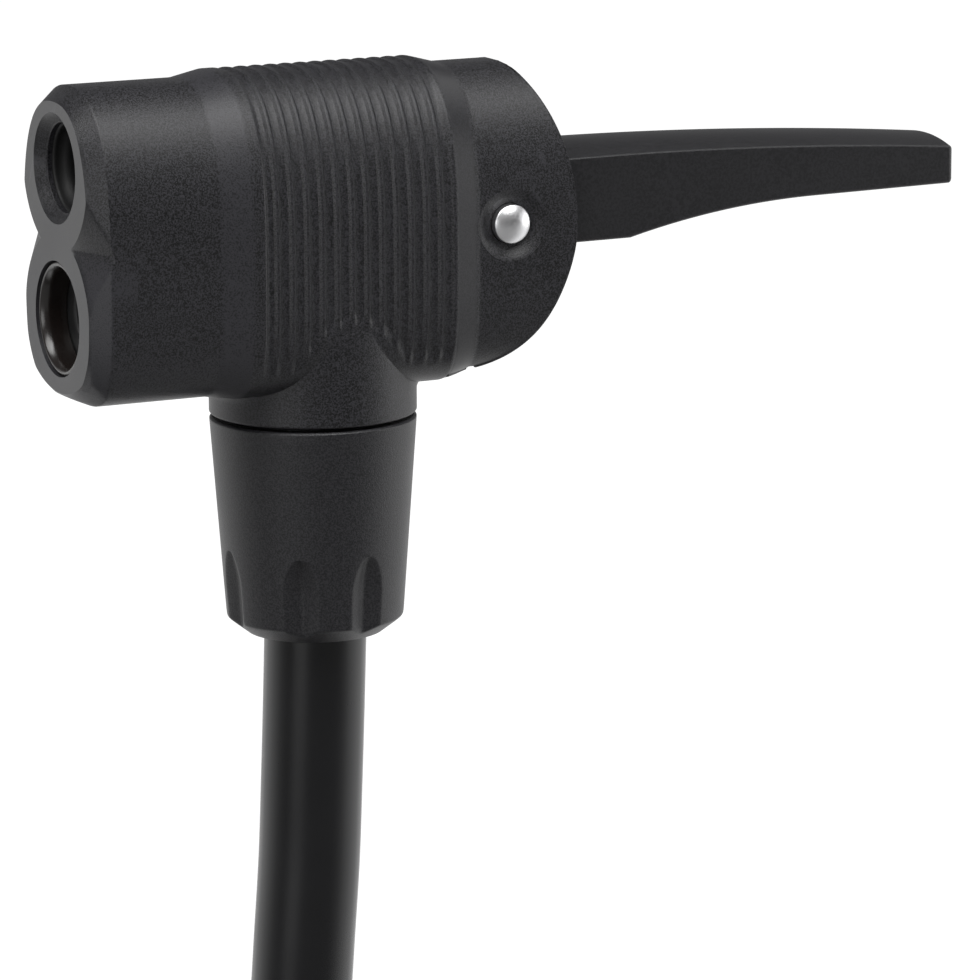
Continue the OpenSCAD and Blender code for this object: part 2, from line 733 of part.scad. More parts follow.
module hose_coil() {
    color([0.07, 0.07, 0.075]) sweep_tube(coil_path, COIL_SIDES, [0, 0, 1], [-1, 0, 0], exit_heading);
}

// Strap round two turns, on the far side of the coil from its start
module hose_tie() {
    tie_angle = 200;
    tie_w = 12;
    tie_t = 0.8;
    tie_r = hose_d / 2 + 1.1;
    flat_sag = coil_radius(tie_angle) * (1 - cos(180 / RING_STEPS)) / 2;
    waist = 0.15;
    turns_held = floor(coil_turns - tie_angle / 360);
    module strap(r) {
        for (i = [0, turns_held]) translate([coil_radius(tie_angle + 360 * i), 0]) circle(r);
        translate([coil_radius(tie_angle), waist - r])
            square([coil_pitch * turns_held, 2 * (r - waist)]);
    }
    color([0.12, 0.12, 0.13]) translate(coil_mid) rotate([0, 0, -tie_angle - 90])
        translate([-flat_sag, tie_w / 2, 0]) rotate([90, 0, 0]) linear_extrude(tie_w) difference() {
            strap(tie_r + tie_t);
            strap(tie_r);
        }
}

// Places a piece on the line that the hose's far end follows, at a distance past that end
module at_far_end(d) {
    translate(coil_exit + exit_heading * (hose_d + d))
        rotate([0, 0, atan2(exit_heading[1], exit_heading[0])]) rotate([0, 90, 0]) children();
}

ferrule_wall = 0.8;
ferrule_bore_r = hose_d / 2 + 0.65;
ferrule_past = ferrule_len - hose_d;
stem_r = thread_d / 2 - 0.4;
stem_past = 2;
hex_len = 6;
thread_len = 8;
seal_t = 1.2;
relief_len = seal_t + 2 * face_gap;
relief_r = thread_d / 2 - 0.7;

module pump_end_ferrule() {
    color([0.72, 0.72, 0.74]) at_far_end(-hose_d) difference() {
        cylinder(h = ferrule_len, r = ferrule_bore_r + ferrule_wall);
        translate([0, 0, -OVER]) cylinder(h = hose_d + face_gap + OVER, r = ferrule_bore_r);
        translate([0, 0, hose_d]) cylinder(h = ferrule_len, r = stem_r + face_gap);
    }
}

module pump_end_fitting() {
    hex_across = 12;
    hex_past = ferrule_past + stem_past - face_gap;
    color([0.8, 0.66, 0.35]) at_far_end(face_gap) difference() {
        union() {
            cylinder(h = hex_past + 1, r = stem_r);
            translate([0, 0, hex_past]) cylinder(h = hex_len, r = hex_across / sqrt(3), $fn = 6);
            // Plain neck that the seal sits on, then the thread
            translate([0, 0, hex_past + 1]) cylinder(h = hex_len + relief_len, r = relief_r);
            translate([0, 0, hex_past + hex_len + relief_len])
                cylinder(h = thread_len - relief_len, r = thread_d / 2);
        }
        translate([0, 0, -OVER])
            cylinder(h = hex_past + hex_len + thread_len + 2 * OVER, r = barb_bore_d / 2);
    }
}

module pump_end_seal() {
    color([0.06, 0.06, 0.06]) at_far_end(ferrule_past + stem_past + hex_len + face_gap) difference() {
        cylinder(h = seal_t, r = thread_d / 2 + 1);
        translate([0, 0, -OVER]) cylinder(h = seal_t + 2 * OVER, r = relief_r + face_gap);
    }
}

head_body();
schrader_grommet();
presta_grommet();
presta_liner();
thrust_washers();
clamp_plunger();
plunger_seal();
cam_plate();
schrader_poppet();
schrader_poppet_seal();
schrader_spring();
presta_poppet();
presta_poppet_seal();
presta_spring();
spring_plugs();
cam_lever();
pivot_pin();
hose_barb();
barb_seal();
hose_end();
hose_collet();
hose_nut();
hose();
hose_coil();
hose_tie();
pump_end_ferrule();
pump_end_fitting();
pump_end_seal();
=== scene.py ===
"""Twin-port tyre inflator head on its coiled hose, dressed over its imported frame.

Sizes are in millimetres until a mesh is made. The origin is the centre of the upper port's
grommet; +X runs back along the head to the lever, +Y across it and +Z up.
"""

from __future__ import annotations

import logging
import math
from collections.abc import Callable
from dataclasses import dataclass, field
from enum import Enum

import bmesh
import bpy
import numpy as np
from mathutils import Matrix, Vector


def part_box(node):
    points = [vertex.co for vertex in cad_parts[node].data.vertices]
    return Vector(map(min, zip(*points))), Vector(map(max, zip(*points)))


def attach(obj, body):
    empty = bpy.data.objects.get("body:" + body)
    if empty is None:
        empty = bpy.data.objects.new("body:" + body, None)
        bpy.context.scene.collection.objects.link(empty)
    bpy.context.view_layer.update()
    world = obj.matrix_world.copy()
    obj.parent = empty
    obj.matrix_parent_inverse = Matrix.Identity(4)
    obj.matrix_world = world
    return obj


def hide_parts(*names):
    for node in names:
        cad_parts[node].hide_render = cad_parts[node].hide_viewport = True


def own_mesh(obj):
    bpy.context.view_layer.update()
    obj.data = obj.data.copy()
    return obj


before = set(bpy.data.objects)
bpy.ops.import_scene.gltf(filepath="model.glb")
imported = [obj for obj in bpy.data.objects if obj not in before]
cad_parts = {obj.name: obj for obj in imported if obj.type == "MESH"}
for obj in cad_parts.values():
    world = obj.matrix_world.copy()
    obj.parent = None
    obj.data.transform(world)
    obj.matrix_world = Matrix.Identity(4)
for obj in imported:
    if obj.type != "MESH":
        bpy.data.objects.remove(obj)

MM = 0.001
PITCH = 15.8
MID_Z = -PITCH / 2
HOSE_X = 27.4
PIN_X = 46.1
FULL_TURN = 2 * np.pi
Array = np.ndarray
Span = tuple[float, float]
Place = tuple[float, float, float]
Colour = tuple[float, float, float]
log = logging.getLogger("inflator_head")


class Axis(Enum):
    """Lines that a turned piece can lie along, each with its two across directions."""

    X = ((0, 1, 0), (0, 0, 1), (1, 0, 0))
    Y = ((0, 0, 1), (1, 0, 0), (0, 1, 0))
    DOWN = ((0, 1, 0), (1, 0, 0), (0, 0, -1))


# ---- Arrays of points ----


def soft_min(a: Array, b: Array, k: float) -> Array:
    """The lesser of two lengths, rounded over k where they cross: (a + b - sqrt((a - b)^2 + k^2)) / 2."""
    return 0.5 * (a + b - np.sqrt((a - b) ** 2 + k * k))


def soft_max(a: Array, b: Array, k: float) -> Array:
    """The greater of two lengths, rounded over k where they cross."""
    return -soft_min(-a, -b, k)


def smooth_step(x: Array, low: float, high: float) -> Array:
    """Rises from 0 at low to 1 at high as 3t^2 - 2t^3."""
    t = np.clip((x - low) / (high - low), 0, 1)
    return t * t * (3 - 2 * t)


def circle(count: int) -> Array:
    """Angles evenly round a full turn."""
    return np.linspace(0, FULL_TURN, count, endpoint=False)


def arc(radius: float, away: Array) -> Array:
    """Height of a circle at a distance from its middle: sqrt(radius^2 - away^2), or 0 outside it."""
    return np.sqrt(np.maximum(radius**2 - away**2, 0))


def runs(start: float, *stops: tuple[float, int]) -> Array:
    """Joins even runs of numbers.

    Args:
        start: the first number.
        stops: each run's end and its count of steps.

    Returns:
        The numbers in order, with none repeated.
    """
    ends = [start, *(end for end, _ in stops)]
    parts = [np.linspace(a, b, n, endpoint=False) for a, b, (_, n) in zip(ends, ends[1:], stops)]
    return np.concatenate(parts + [ends[-1:]])


def through(points: Array, per_span: int) -> Array:
    """Carries a smooth line through points: on each span the cubic that leaves and arrives along
    the chord between the neighbours on either side.

    Args:
        points: the points it passes, as rows.
        per_span: how many steps each span gets.

    Returns:
        The line's points as rows.
    """
    p = np.vstack([2 * points[0] - points[1], points, 2 * points[-1] - points[-2]])
    t = np.linspace(0, 1, per_span, endpoint=False)[None, :, None]
    a, b, c, d = (p[i : len(p) - 3 + i, None, :] for i in range(4))
    cubic = 0.5 * (2 * b + (c - a) * t + (2 * a - 5 * b + 4 * c - d) * t**2 + (3 * b - a - 3 * c + d) * t**3)
    return np.vstack([cubic.reshape(-1, points.shape[1]), points[-1]])


def turned(profile: Array, origin: Place, axis: Axis, around: int) -> Array:
    """Turns a profile about a line: each point is origin + r (cos t e1 + sin t e2) + h axis.

    Args:
        profile: rows of radius and height, or of height with one radius per angle.
        origin: the line's start.
        axis: the line's direction.
        around: how many columns go round it.

    Returns:
        Rings of points, one for each row of the profile.
    """
    turn = circle(around)
    e1, e2, line = (np.array(v, float) for v in axis.value)
    radius = np.broadcast_to(profile[:, :-1], (len(profile), around)) if profile.shape[1] == 2 else profile[:, :-1]
    across = np.cos(turn)[:, None] * e1 + np.sin(turn)[:, None] * e2
    return np.array(origin) + radius[..., None] * across + profile[:, -1:, None] * line


def rounded(corners: list[Place], steps: int = 6) -> Array:
    """Rounds the corners of a profile: each is cut back along both its sides and crossed by the
    quadratic curve that has the corner as its middle control point.

    Args:
        corners: rows of radius, height and how far the corner is cut back.
        steps: how many points cross each corner.

    Returns:
        The profile's points as rows of radius and height.
    """
    p = np.array(corners, float)
    q, cut = p[:, :2], p[:, 2:]
    before, after = np.roll(q, 1, 0) - q, np.roll(q, -1, 0) - q
    before /= np.maximum(np.linalg.norm(before, axis=1, keepdims=True), 1e-9)
    after /= np.maximum(np.linalg.norm(after, axis=1, keepdims=True), 1e-9)
    t = np.linspace(0, 1, steps)[None, :, None]
    a, b = (q + before * cut)[:, None], (q + after * cut)[:, None]
    curve = (1 - t) ** 2 * a + 2 * t * (1 - t) * q[:, None] + t**2 * b
    keep = np.ones((len(q), steps), bool)
    keep[cut[:, 0] <= 0, 1:] = False
    return curve[keep]


def bored(radius: Array, h: Array, bore: Array) -> Array:
    """Joins an outside that changes round its axis to a plain bore.

    Args:
        radius: the outside's radii, a row for each height.
        h: its heights.
        bore: the bore's rows of radius and height.

    Returns:
        Rows of radii and a height, as turned takes them.
    """
    inside = np.column_stack([np.repeat(bore[:, :1], radius.shape[1], 1), bore[:, 1:]])
    return np.vstack([np.column_stack([radius, h]), inside])


def off_crest(h: Array, pitch: float, around: int) -> Array:
    """How far from a wound thread's crest each place lies, from 0 on it to 1 in the root: |2 w - 1|,
    where w is the fraction of a turn left over by h / pitch - bearing / full turn."""
    wound = h[:, None] / pitch - circle(around)[None, :] / FULL_TURN
    return np.abs(2 * (wound % 1) - 1)


def beside(*parts: Array) -> Array:
    """Coordinates side by side, each spread to the shape of the others."""
    return np.stack(np.broadcast_arrays(*parts), axis=-1)


def stood(x: Array, rings: Array) -> Array:
    """Stands flat rings of Y and Z at their places along X."""
    return np.concatenate([np.broadcast_to(x[:, None, None], (*rings.shape[:2], 1)), rings], axis=-1)


# ---- Meshes ----


def tube_faces(rings: int, around: int, closed: bool) -> Array:
    """Faces between each ring and the next, which face away from the line that the rings follow.

    Args:
        rings: how many rings there are.
        around: how many points are in each.
        closed: whether the last ring joins the first.

    Returns:
        Rows of four point numbers.
    """
    i = np.arange(rings if closed else rings - 1)[:, None]
    j = np.arange(around)[None, :]
    k, n = (j + 1) % around, (i + 1) % rings
    return np.stack([i * around + j, i * around + k, n * around + k, n * around + j], axis=-1).reshape(-1, 4)


@dataclass
class Shell:
    """A closed surface: its points in millimetres, and faces that number them."""

    points: Array
    faces: list[list[int]]

    @classmethod
    def tube(cls, rings: Array, closed: bool = False) -> "Shell":
        """Skins rings of points, and caps both ends unless the last ring joins the first.

        Args:
            rings: the rings' points.
            closed: whether the last ring joins the first.

        Returns:
            The shell.
        """
        count, around = rings.shape[:2]
        faces = tube_faces(count, around, closed).tolist()
        if not closed:
            faces.append(list(range(around))[::-1])
            faces.append(list(range((count - 1) * around, count * around)))
        return cls(rings.reshape(-1, 3), faces)

    @classmethod
    def lathe(cls, rows: Array, origin: Place, axis: Axis, around: int, closed: bool = False) -> "Shell":
        """Skins a profile turned about a line; closed says that it ends where it starts."""
        return cls.tube(turned(rows, origin, axis, around), closed)

    @classmethod
    def rod(cls, radius: float, start: float, end: float, origin: Place, axis: Axis, around: int = 96) -> "Shell":
        """A plain cylinder from start to end along a line, used only to cut with."""
        return cls.lathe(np.array([[radius, start], [radius, end]]), origin, axis, around)

    @classmethod
    def block(cls, low: Place, high: Place) -> "Shell":
        """A box between two corners, used only to cut with.

        Args:
            low: the corner with the least coordinates.
            high: the opposite one.

        Returns:
            The shell.
        """
        (x0, y0, z0), (x1, y1, z1) = low, high
        ring = np.array([[0, y0, z0], [0, y1, z0], [0, y1, z1], [0, y0, z1]], float)
        return cls.tube(np.stack([ring + [x0, 0, 0], ring + [x1, 0, 0]]))

    def mesh(self, name: str) -> bpy.types.Object:
        """Makes the shell an object in metres.

        Args:
            name: the object's name.

        Returns:
            The object.
        """
        data = bpy.data.meshes.new(name)
        data.from_pydata((self.points * MM).tolist(), [], self.faces)
        data.validate()
        thing = bpy.data.objects.new(name, data)
        bpy.context.scene.collection.objects.link(thing)
        return thing


def settle(thing: bpy.types.Object) -> None:
    """Applies an object's modifiers to its mesh.

    Args:
        thing: the object.
    """
    graph = bpy.context.evaluated_depsgraph_get()
    graph.update()
    made = bpy.data.meshes.new_from_object(thing.evaluated_get(graph))
    old = thing.data
    thing.modifiers.clear()
    thing.data = made
    bpy.data.meshes.remove(old)
    made.name = thing.name


def shade(thing: bpy.types.Object, angle: float) -> None:
    """Smooths a mesh, apart from edges that turn by more than the angle in degrees. Normals lean to
    the larger faces, so that flat ones stay flat beside a small round.

    Args:
        thing: the object.
        angle: the angle in degrees.
    """
    data = thing.data
    data.polygons.foreach_set("use_smooth", np.ones(len(data.polygons), bool))
    data.set_sharp_from_angle(angle=math.radians(angle))
    data.update()
    lean = thing.modifiers.new("lean", "WEIGHTED_NORMAL")
    lean.keep_sharp, lean.weight = True, 80
    settle(thing)


def mesh_out(thing: bpy.types.Object) -> None:
    """Turns a closed mesh's faces outwards.

    Args:
        thing: the object.
    """
    work = bmesh.new()
    work.from_mesh(thing.data)
    bmesh.ops.recalc_face_normals(work, faces=work.faces)
    if work.calc_volume(signed=True) < 0:
        bmesh.ops.reverse_faces(work, faces=work.faces)
    work.to_mesh(thing.data)
    work.free()


def combine(thing: bpy.types.Object, shells: list[Shell], operation: str) -> None:
    """Joins shells to an object's mesh or cuts them from it.

    Args:
        thing: the object that is changed.
        shells: the solids that act on it, one after another.
        operation: UNION or DIFFERENCE.
    """
    tools = []
    for number, shell in enumerate(shells):
        tool = shell.mesh(f"tool{number}")
        cut = thing.modifiers.new("cut", "BOOLEAN")
        cut.object, cut.operation, cut.solver = tool, operation, "MANIFOLD"
        tools.append(tool)
    settle(thing)
    for tool in tools:
        data = tool.data
        bpy.data.objects.remove(tool)
        bpy.data.meshes.remove(data)
    if not thing.data.polygons:
        raise RuntimeError(f"{thing.name} lost its faces")


# ---- Shader graphs ----


def operator(operation: str, swapped: bool = False) -> Callable[["Wire", object], "Wire"]:
    """Makes one of a wire's operators.

    Args:
        operation: the Math node's operation.
        swapped: whether the wire is its second value, as in 1 - wire.

    Returns:
        A method that adds the node.
    """

    def method(wire: "Wire", other: object) -> "Wire":
        """Adds the Math node to the wire's graph."""
        values = (other, wire) if swapped else (wire, other)
        return wire.graph.add("ShaderNodeMath", {"operation": operation}, dict(enumerate(values)))

    return method


class Wire:
    """A socket in a shader graph; arithmetic on it adds Math nodes."""

    def __init__(self, graph: "Graph", socket: bpy.types.NodeSocket) -> None:
        """Holds the socket and the graph it belongs to."""
        self.graph, self.socket = graph, socket

    __add__ = __radd__ = operator("ADD")
    __sub__, __rsub__ = operator("SUBTRACT"), operator("SUBTRACT", True)
    __mul__ = __rmul__ = operator("MULTIPLY")
    __truediv__, __pow__ = operator("DIVIDE"), operator("POWER")
    most, least = operator("MAXIMUM"), operator("MINIMUM")

    def sine(self) -> "Wire":
        """Sine of an angle in radians."""
        return self.graph.add("ShaderNodeMath", {"operation": "SINE"}, {0: self})

    def within(self, start: float, end: float, rise: float, fall: float) -> "Wire":
        """1 between two places in millimetres and 0 beyond them, eased by rise and fall each way.

        Args:
            start: the first place.
            end: the second place.
            rise: half the width of the first edge.
            fall: half the width of the second.

        Returns:
            The share from 0 to 1.
        """
        risen = self.ease((start - rise) * MM, (start + rise) * MM)
        return risen * (1 - self.ease((end - fall) * MM, (end + fall) * MM))

    def ease(self, low: float, high: float) -> "Wire":
        """Rises smoothly from 0 at low to 1 at high.

        Args:
            low: where it leaves 0.
            high: where it reaches 1.

        Returns:
            The eased value.
        """
        return self.graph.add(
            "ShaderNodeMapRange", {"interpolation_type": "SMOOTHSTEP"}, {0: self, 1: low, 2: high, 3: 0.0, 4: 1.0}
        )


class Graph:
    """The nodes of one material or of the world."""

    def __init__(self, owner: bpy.types.ID) -> None:
        """Clears the owner's nodes.

        Args:
            owner: a material or the world.
        """
        owner.use_nodes = True
        self.tree = owner.node_tree
        self.tree.nodes.clear()
        self.end = "ShaderNodeOutputWorld" if isinstance(owner, bpy.types.World) else "ShaderNodeOutputMaterial"

    def add(self, kind: str, settings: dict | None = None, inputs: dict | None = None, out: int | str = 0) -> Wire:
        """Adds a node.

        Args:
            kind: the node's type.
            settings: its own settings, set first.
            inputs: the value or the wire of each socket, by name or number.
            out: the output to carry on from.

        Returns:
            A wire from that output, or an empty one from a node that has none.
        """
        node = self.tree.nodes.new(kind)
        for key, value in (settings or {}).items():
            setattr(node, key, value)
        for key, value in (inputs or {}).items():
            if isinstance(value, Wire):
                self.tree.links.new(value.socket, node.inputs[key])
            else:
                node.inputs[key].default_value = value
        return Wire(self, node.outputs[out] if node.outputs else None)

    def place(self) -> Wire:
        """The object's own coordinates in metres."""
        return self.add("ShaderNodeTexCoord", out="Object")

    def split(self, vector: Wire) -> tuple[Wire, ...]:
        """A vector's three parts."""
        node = self.add("ShaderNodeSeparateXYZ", None, {0: vector}).socket.node
        return tuple(Wire(self, socket) for socket in node.outputs)

    def rays(self) -> tuple[Wire, ...]:
        """Whether the ray comes from the camera, from a mirror and through something clear."""
        node = self.add("ShaderNodeLightPath").socket.node
        return tuple(Wire(self, node.outputs[f"Is {kind} Ray"]) for kind in ("Camera", "Glossy", "Transmission"))

    def noise(self, size_mm: float, detail: float = 2.0, rough: float = 0.5) -> Wire:
        """Noise from 0 to 1 whose lumps are about size_mm across."""
        inputs = {"Vector": self.place(), "Scale": 1 / (size_mm * MM), "Detail": detail, "Roughness": rough}
        return self.add("ShaderNodeTexNoise", None, inputs)

    def cells(self, size_mm: float) -> Wire:
        """Distance to the nearest of scattered points about size_mm apart."""
        return self.add("ShaderNodeTexVoronoi", None, {"Vector": self.place(), "Scale": 1 / (size_mm * MM)})

    def blend(self, amount: Wire, first: Colour, second: Colour) -> Wire:
        """Mixes two colours."""
        inputs = {0: amount, 6: (*first, 1.0), 7: (*second, 1.0)}
        return self.add("ShaderNodeMix", {"data_type": "RGBA"}, inputs, 2)

    def relief(self, height: Wire, depth_mm: float) -> Wire:
        """A bump whose height runs from 0 to depth_mm."""
        return self.add("ShaderNodeBump", None, {"Height": height, "Distance": depth_mm * MM, "Strength": 1.0})

    def surface(self, shader: Wire) -> None:
        """Ends the graph with a shader."""
        self.add(self.end, None, {"Surface": shader})


def new_graph(name: str) -> tuple[bpy.types.Material, Graph]:
    """A new material and its empty graph."""
    material = bpy.data.materials.new(name)
    return material, Graph(material)


# ---- Finishes ----


@dataclass(frozen=True)
class Finish:
    """What a piece is made of. Each kind says what goes into its shader."""

    name: str

    def inputs(self, g: Graph) -> dict[str, object]:
        """The shader's inputs by name."""
        raise NotImplementedError

    def make(self) -> bpy.types.Material:
        """Makes the material.

        Returns:
            The material.
        """
        material, g = new_graph(self.name)
        g.surface(g.add("ShaderNodeBsdfPrincipled", None, self.inputs(g)))
        return material


@dataclass(frozen=True)
class MouldedPlastic(Finish):
    """Black nylon from a spark-eroded mould: sparkling grain, polished where the mould was. Each of
    the polished places is a stretch of X; each of the painted light bands is one of X, one of Z and a
    share, and lightens a surface where it stands for more light falling there."""

    name: str = "moulded_nylon"
    colour: Colour = (0.001, 0.001, 0.0012)
    # The lighter colour: of the grain's specks, of scuffed edges, and of the painted glints, highlights and light
    # bands.
    worn_and_lit_tone: Colour = (0.034, 0.0335, 0.0385)
    rough: float = 0.44
    grain_mm: float = 0.18
    grain_depth: float = 0.03
    polished: tuple[Span, ...] = ()
    # How much lighter convex edges are: partly scuffing, partly painted highlight lines along edges and rib crests.
    edge_wear_and_highlight: float = 0.6
    # Painted light: lighter bands where a surface stands for more light falling on it.
    painted_light_bands: tuple[tuple[Span, Span, float], ...] = ()

    def inputs(self, g: Graph) -> dict[str, object]:
        """Mixes fine grain with broad clouds; the grain's lighter specks also paint its glints into the
        colour. Polished places have less grain. Convex edges are lighter, partly as scuffing and partly
        as painted highlights along edges and rib crests, and the painted light bands lighten surfaces
        where more light falls.

        Args:
            g: the material's graph.

        Returns:
            The shader's inputs by name.
        """
        x, _, z = g.split(g.place())
        smooth = x * 0
        for start, end in self.polished:
            smooth = smooth.most(x.within(start, end, 0.15, 0.25))
        coarse, fine, cloud = g.noise(self.grain_mm, 3.0, 0.65), g.cells(self.grain_mm * 0.8), g.noise(9.0, 3.0)
        keep = 1 - smooth * 0.7
        # Grain tone in specks, which also paints the grain's glints into the colour.
        grain_and_painted_glint = (coarse.ease(0.36, 0.64) - 0.45) * 1.3 * keep + (cloud - 0.5) * 0.25 + 0.45
        # Convex edges lighter: partly scuffing, partly painted highlight lines along edges and rib crests.
        edge_wear_and_painted_light = g.add("ShaderNodeNewGeometry", out="Pointiness").ease(0.51, 0.6) * self.edge_wear_and_highlight
        # Painted light: each band lightens the colour over a stretch of X and of Z.
        for along, up, share in self.painted_light_bands:
            edge_wear_and_painted_light = edge_wear_and_painted_light + x.within(*along, 0.3, 0.4) * z.within(*up, 1, 2) * share
        rough = self.rough + (coarse - 0.5) * 0.22 + (cloud - 0.5) * 0.08 - smooth * 0.05
        return {
            "Base Color": g.blend(grain_and_painted_glint + edge_wear_and_painted_light, self.colour, self.worn_and_lit_tone),
            "Roughness": rough.most(0.2).least(0.8),
            "Normal": g.relief((coarse * 0.65 + fine * 0.35) * keep, self.grain_depth),
        }


@dataclass(frozen=True)
class Rubber(Finish):
    """Matte black rubber with a faint bloom."""

    name: str = "soft_rubber"
    colour: Colour = (0.009, 0.009, 0.0095)
    bloom: Colour = (0.016, 0.016, 0.017)
    rough: float = 0.5
    grain_mm: float = 0.12
    grain_depth: float = 0.003

    def inputs(self, g: Graph) -> dict[str, object]:
        """Mixes a fine grain with broad cloudy bloom in colour and roughness.

        Args:
            g: the material's graph.

        Returns:
            The shader's inputs by name.
        """
        grain, cloud = g.noise(self.grain_mm, 2.0), g.noise(14.0, 4.0)
        return {
            "Base Color": g.blend(cloud.ease(0.35, 0.7), self.colour, self.bloom),
            "Roughness": self.rough + (cloud - 0.5) * 0.1 + (grain - 0.5) * 0.08,
            "Normal": g.relief(grain, self.grain_depth),
        }


@dataclass(frozen=True)
class GlossyPlastic(Finish):
    """Polished dark plastic of the lower port's liner."""

    name: str = "gloss_liner"
    colour: Colour = (0.012, 0.009, 0.008)
    rough: float = 0.2

    def inputs(self, g: Graph) -> dict[str, object]:
        """Gives a polished face faint handling marks, half as light again.

        Args:
            g: the material's graph.

        Returns:
            The shader's inputs by name.
        """
        marks = g.noise(1.4, 4.0, 0.7)
        return {
            "Base Color": g.blend(marks, self.colour, tuple(c * 1.5 for c in self.colour)),
            "Roughness": self.rough + marks * 0.1,
            "Normal": g.relief(g.noise(2.5, 2.0), 0.004),
            "Specular IOR Level": 0.8,
        }


@dataclass(frozen=True)
class Metal(Finish):
    """A turned or plated metal, with rings left by the tool along one axis."""

    colour: Colour
    dull: Colour
    rough: float
    rings_mm: float
    axis: int

    def inputs(self, g: Graph) -> dict[str, object]:
        """Runs fine tool rings along the axis, under a thin cloud of tarnish.

        Args:
            g: the material's graph.

        Returns:
            The shader's inputs by name.
        """
        along = g.split(g.place())[self.axis]
        rings = (along * (FULL_TURN / (self.rings_mm * MM)) + g.noise(0.6, 2.0) * 4.0).sine() * 0.5 + 0.5
        cloud = g.noise(2.2, 4.0, 0.6)
        return {
            "Base Color": g.blend(cloud.ease(0.45, 0.8), self.colour, self.dull),
            "Metallic": 1.0,
            "Roughness": self.rough + cloud * 0.12 + rings * 0.05,
            "Normal": g.relief(rings * 0.5 + cloud * 0.5, 0.0012),
        }


@dataclass(frozen=True)
class Acetal(Finish):
    """Natural white acetal with a waxy sheen."""

    name: str = "natural_acetal"
    colour: Colour = (0.72, 0.71, 0.66)
    stained: Colour = (0.6, 0.58, 0.52)

    def inputs(self, g: Graph) -> dict[str, object]:
        """Clouds a waxy white with light staining and shallow mould marks.

        Args:
            g: the material's graph.

        Returns:
            The shader's inputs by name.
        """
        cloud, grain = g.noise(3.0, 4.0, 0.6), g.noise(0.3, 2.0)
        return {
            "Base Color": g.blend(cloud.ease(0.4, 0.75), self.colour, self.stained),
            "Roughness": 0.36 + grain * 0.12,
            "Normal": g.relief(grain, 0.004),
            "Subsurface Weight": 0.1,
            "Subsurface Radius": (0.002, 0.0018, 0.0014),
        }


NYLON = MouldedPlastic(
    polished=((-4.0, -1.35), (39.4, 41.9)),
    # Painted light: lighter bands on the lower bevel, the notch, the ramp and the lower nose, where more light falls.
    painted_light_bands=(
        ((-1.4, 0.3), (-40.0, -9.0), 0.75),
        ((0.6, 3.2), (-12.5, -9.8), 0.5),
        ((12.6, 16.0), (-40.0, 12.0), 0.42),
        ((0.6, 16.0), (-40.0, -19.5), 0.32),
    ),
)
NUT_NYLON = MouldedPlastic("nut_nylon", (0.007, 0.007, 0.0084), (0.03, 0.0295, 0.033), grain_depth=0.036)
LEVER_NYLON = MouldedPlastic(
    "lever_nylon", (0.0085, 0.0084, 0.0096), (0.017, 0.0167, 0.019), rough=0.4, grain_mm=0.3, grain_depth=0.003
)
RUBBER = Rubber()
# Painted shade: a darker copy of the black rubber, so the upper port's deep bore looks dark.
SHADED_SEAL_RUBBER = Rubber("shaded_seal_rubber", (0.004, 0.004, 0.0042), (0.007, 0.007, 0.0075), 0.6)
HOSE_RUBBER = Rubber("hose_rubber", (0.0045, 0.0045, 0.0054), (0.0065, 0.0065, 0.0076), 0.3, 0.2, 0.0015)
STRAP_RUBBER = Rubber("strap_rubber", (0.02, 0.02, 0.021), (0.03, 0.03, 0.031), 0.55, 0.4, 0.02)
LINER = GlossyPlastic()
STEEL = Metal("bright_steel", (0.9, 0.9, 0.91), (0.75, 0.75, 0.77), 0.26, 0.1, 1)
ZINC = Metal("zinc_plate", (0.62, 0.62, 0.64), (0.45, 0.45, 0.47), 0.3, 0.3, 1)
BRASS = Metal("turned_brass", (0.80, 0.58, 0.27), (0.6, 0.4, 0.17), 0.22, 0.12, 0)
ACETAL = Acetal()


class Finishes:
    """Makes each finish's material once."""

    def __init__(self) -> None:
        """Starts with none made."""
        self._made: dict[str, bpy.types.Material] = {}

    def __getitem__(self, finish: Finish) -> bpy.types.Material:
        """The finish's material.

        Args:
            finish: what a piece is made of.

        Returns:
            The material, made at the first call.
        """
        if finish.name not in self._made:
            self._made[finish.name] = finish.make()
        return self._made[finish.name]


FINISHES = Finishes()


def dress(thing: bpy.types.Object, body: str, finish: Finish, slot: str, *nodes: str) -> bpy.types.Object:
    """Gives a finished piece its material and its place in the frame.

    Args:
        thing: the piece.
        body: the body that it rides on.
        finish: what it is made of.
        slot: the record's material slot; not used.
        nodes: the nodes that it stands for.

    Returns:
        The piece.
    """
    thing.data.materials.clear()
    thing.data.materials.append(FINISHES[finish])
    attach(thing, body)
    if nodes:
        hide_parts(*nodes)
    log.info("%s rides on %s", thing.name, body)
    return thing


def piece(shell: Shell, name: str, angle: float, *look: object) -> bpy.types.Object:
    """Makes a closed shell a finished piece.

    Args:
        shell: its surface.
        name: its name.
        angle: edges that turn by more than these degrees stay sharp.
        look: its body, finish, slot and nodes, as dress takes them.

    Returns:
        The piece.
    """
    thing = shell.mesh(name)
    mesh_out(thing)
    shade(thing, angle)
    return dress(thing, *look)


# ---- Studio ----


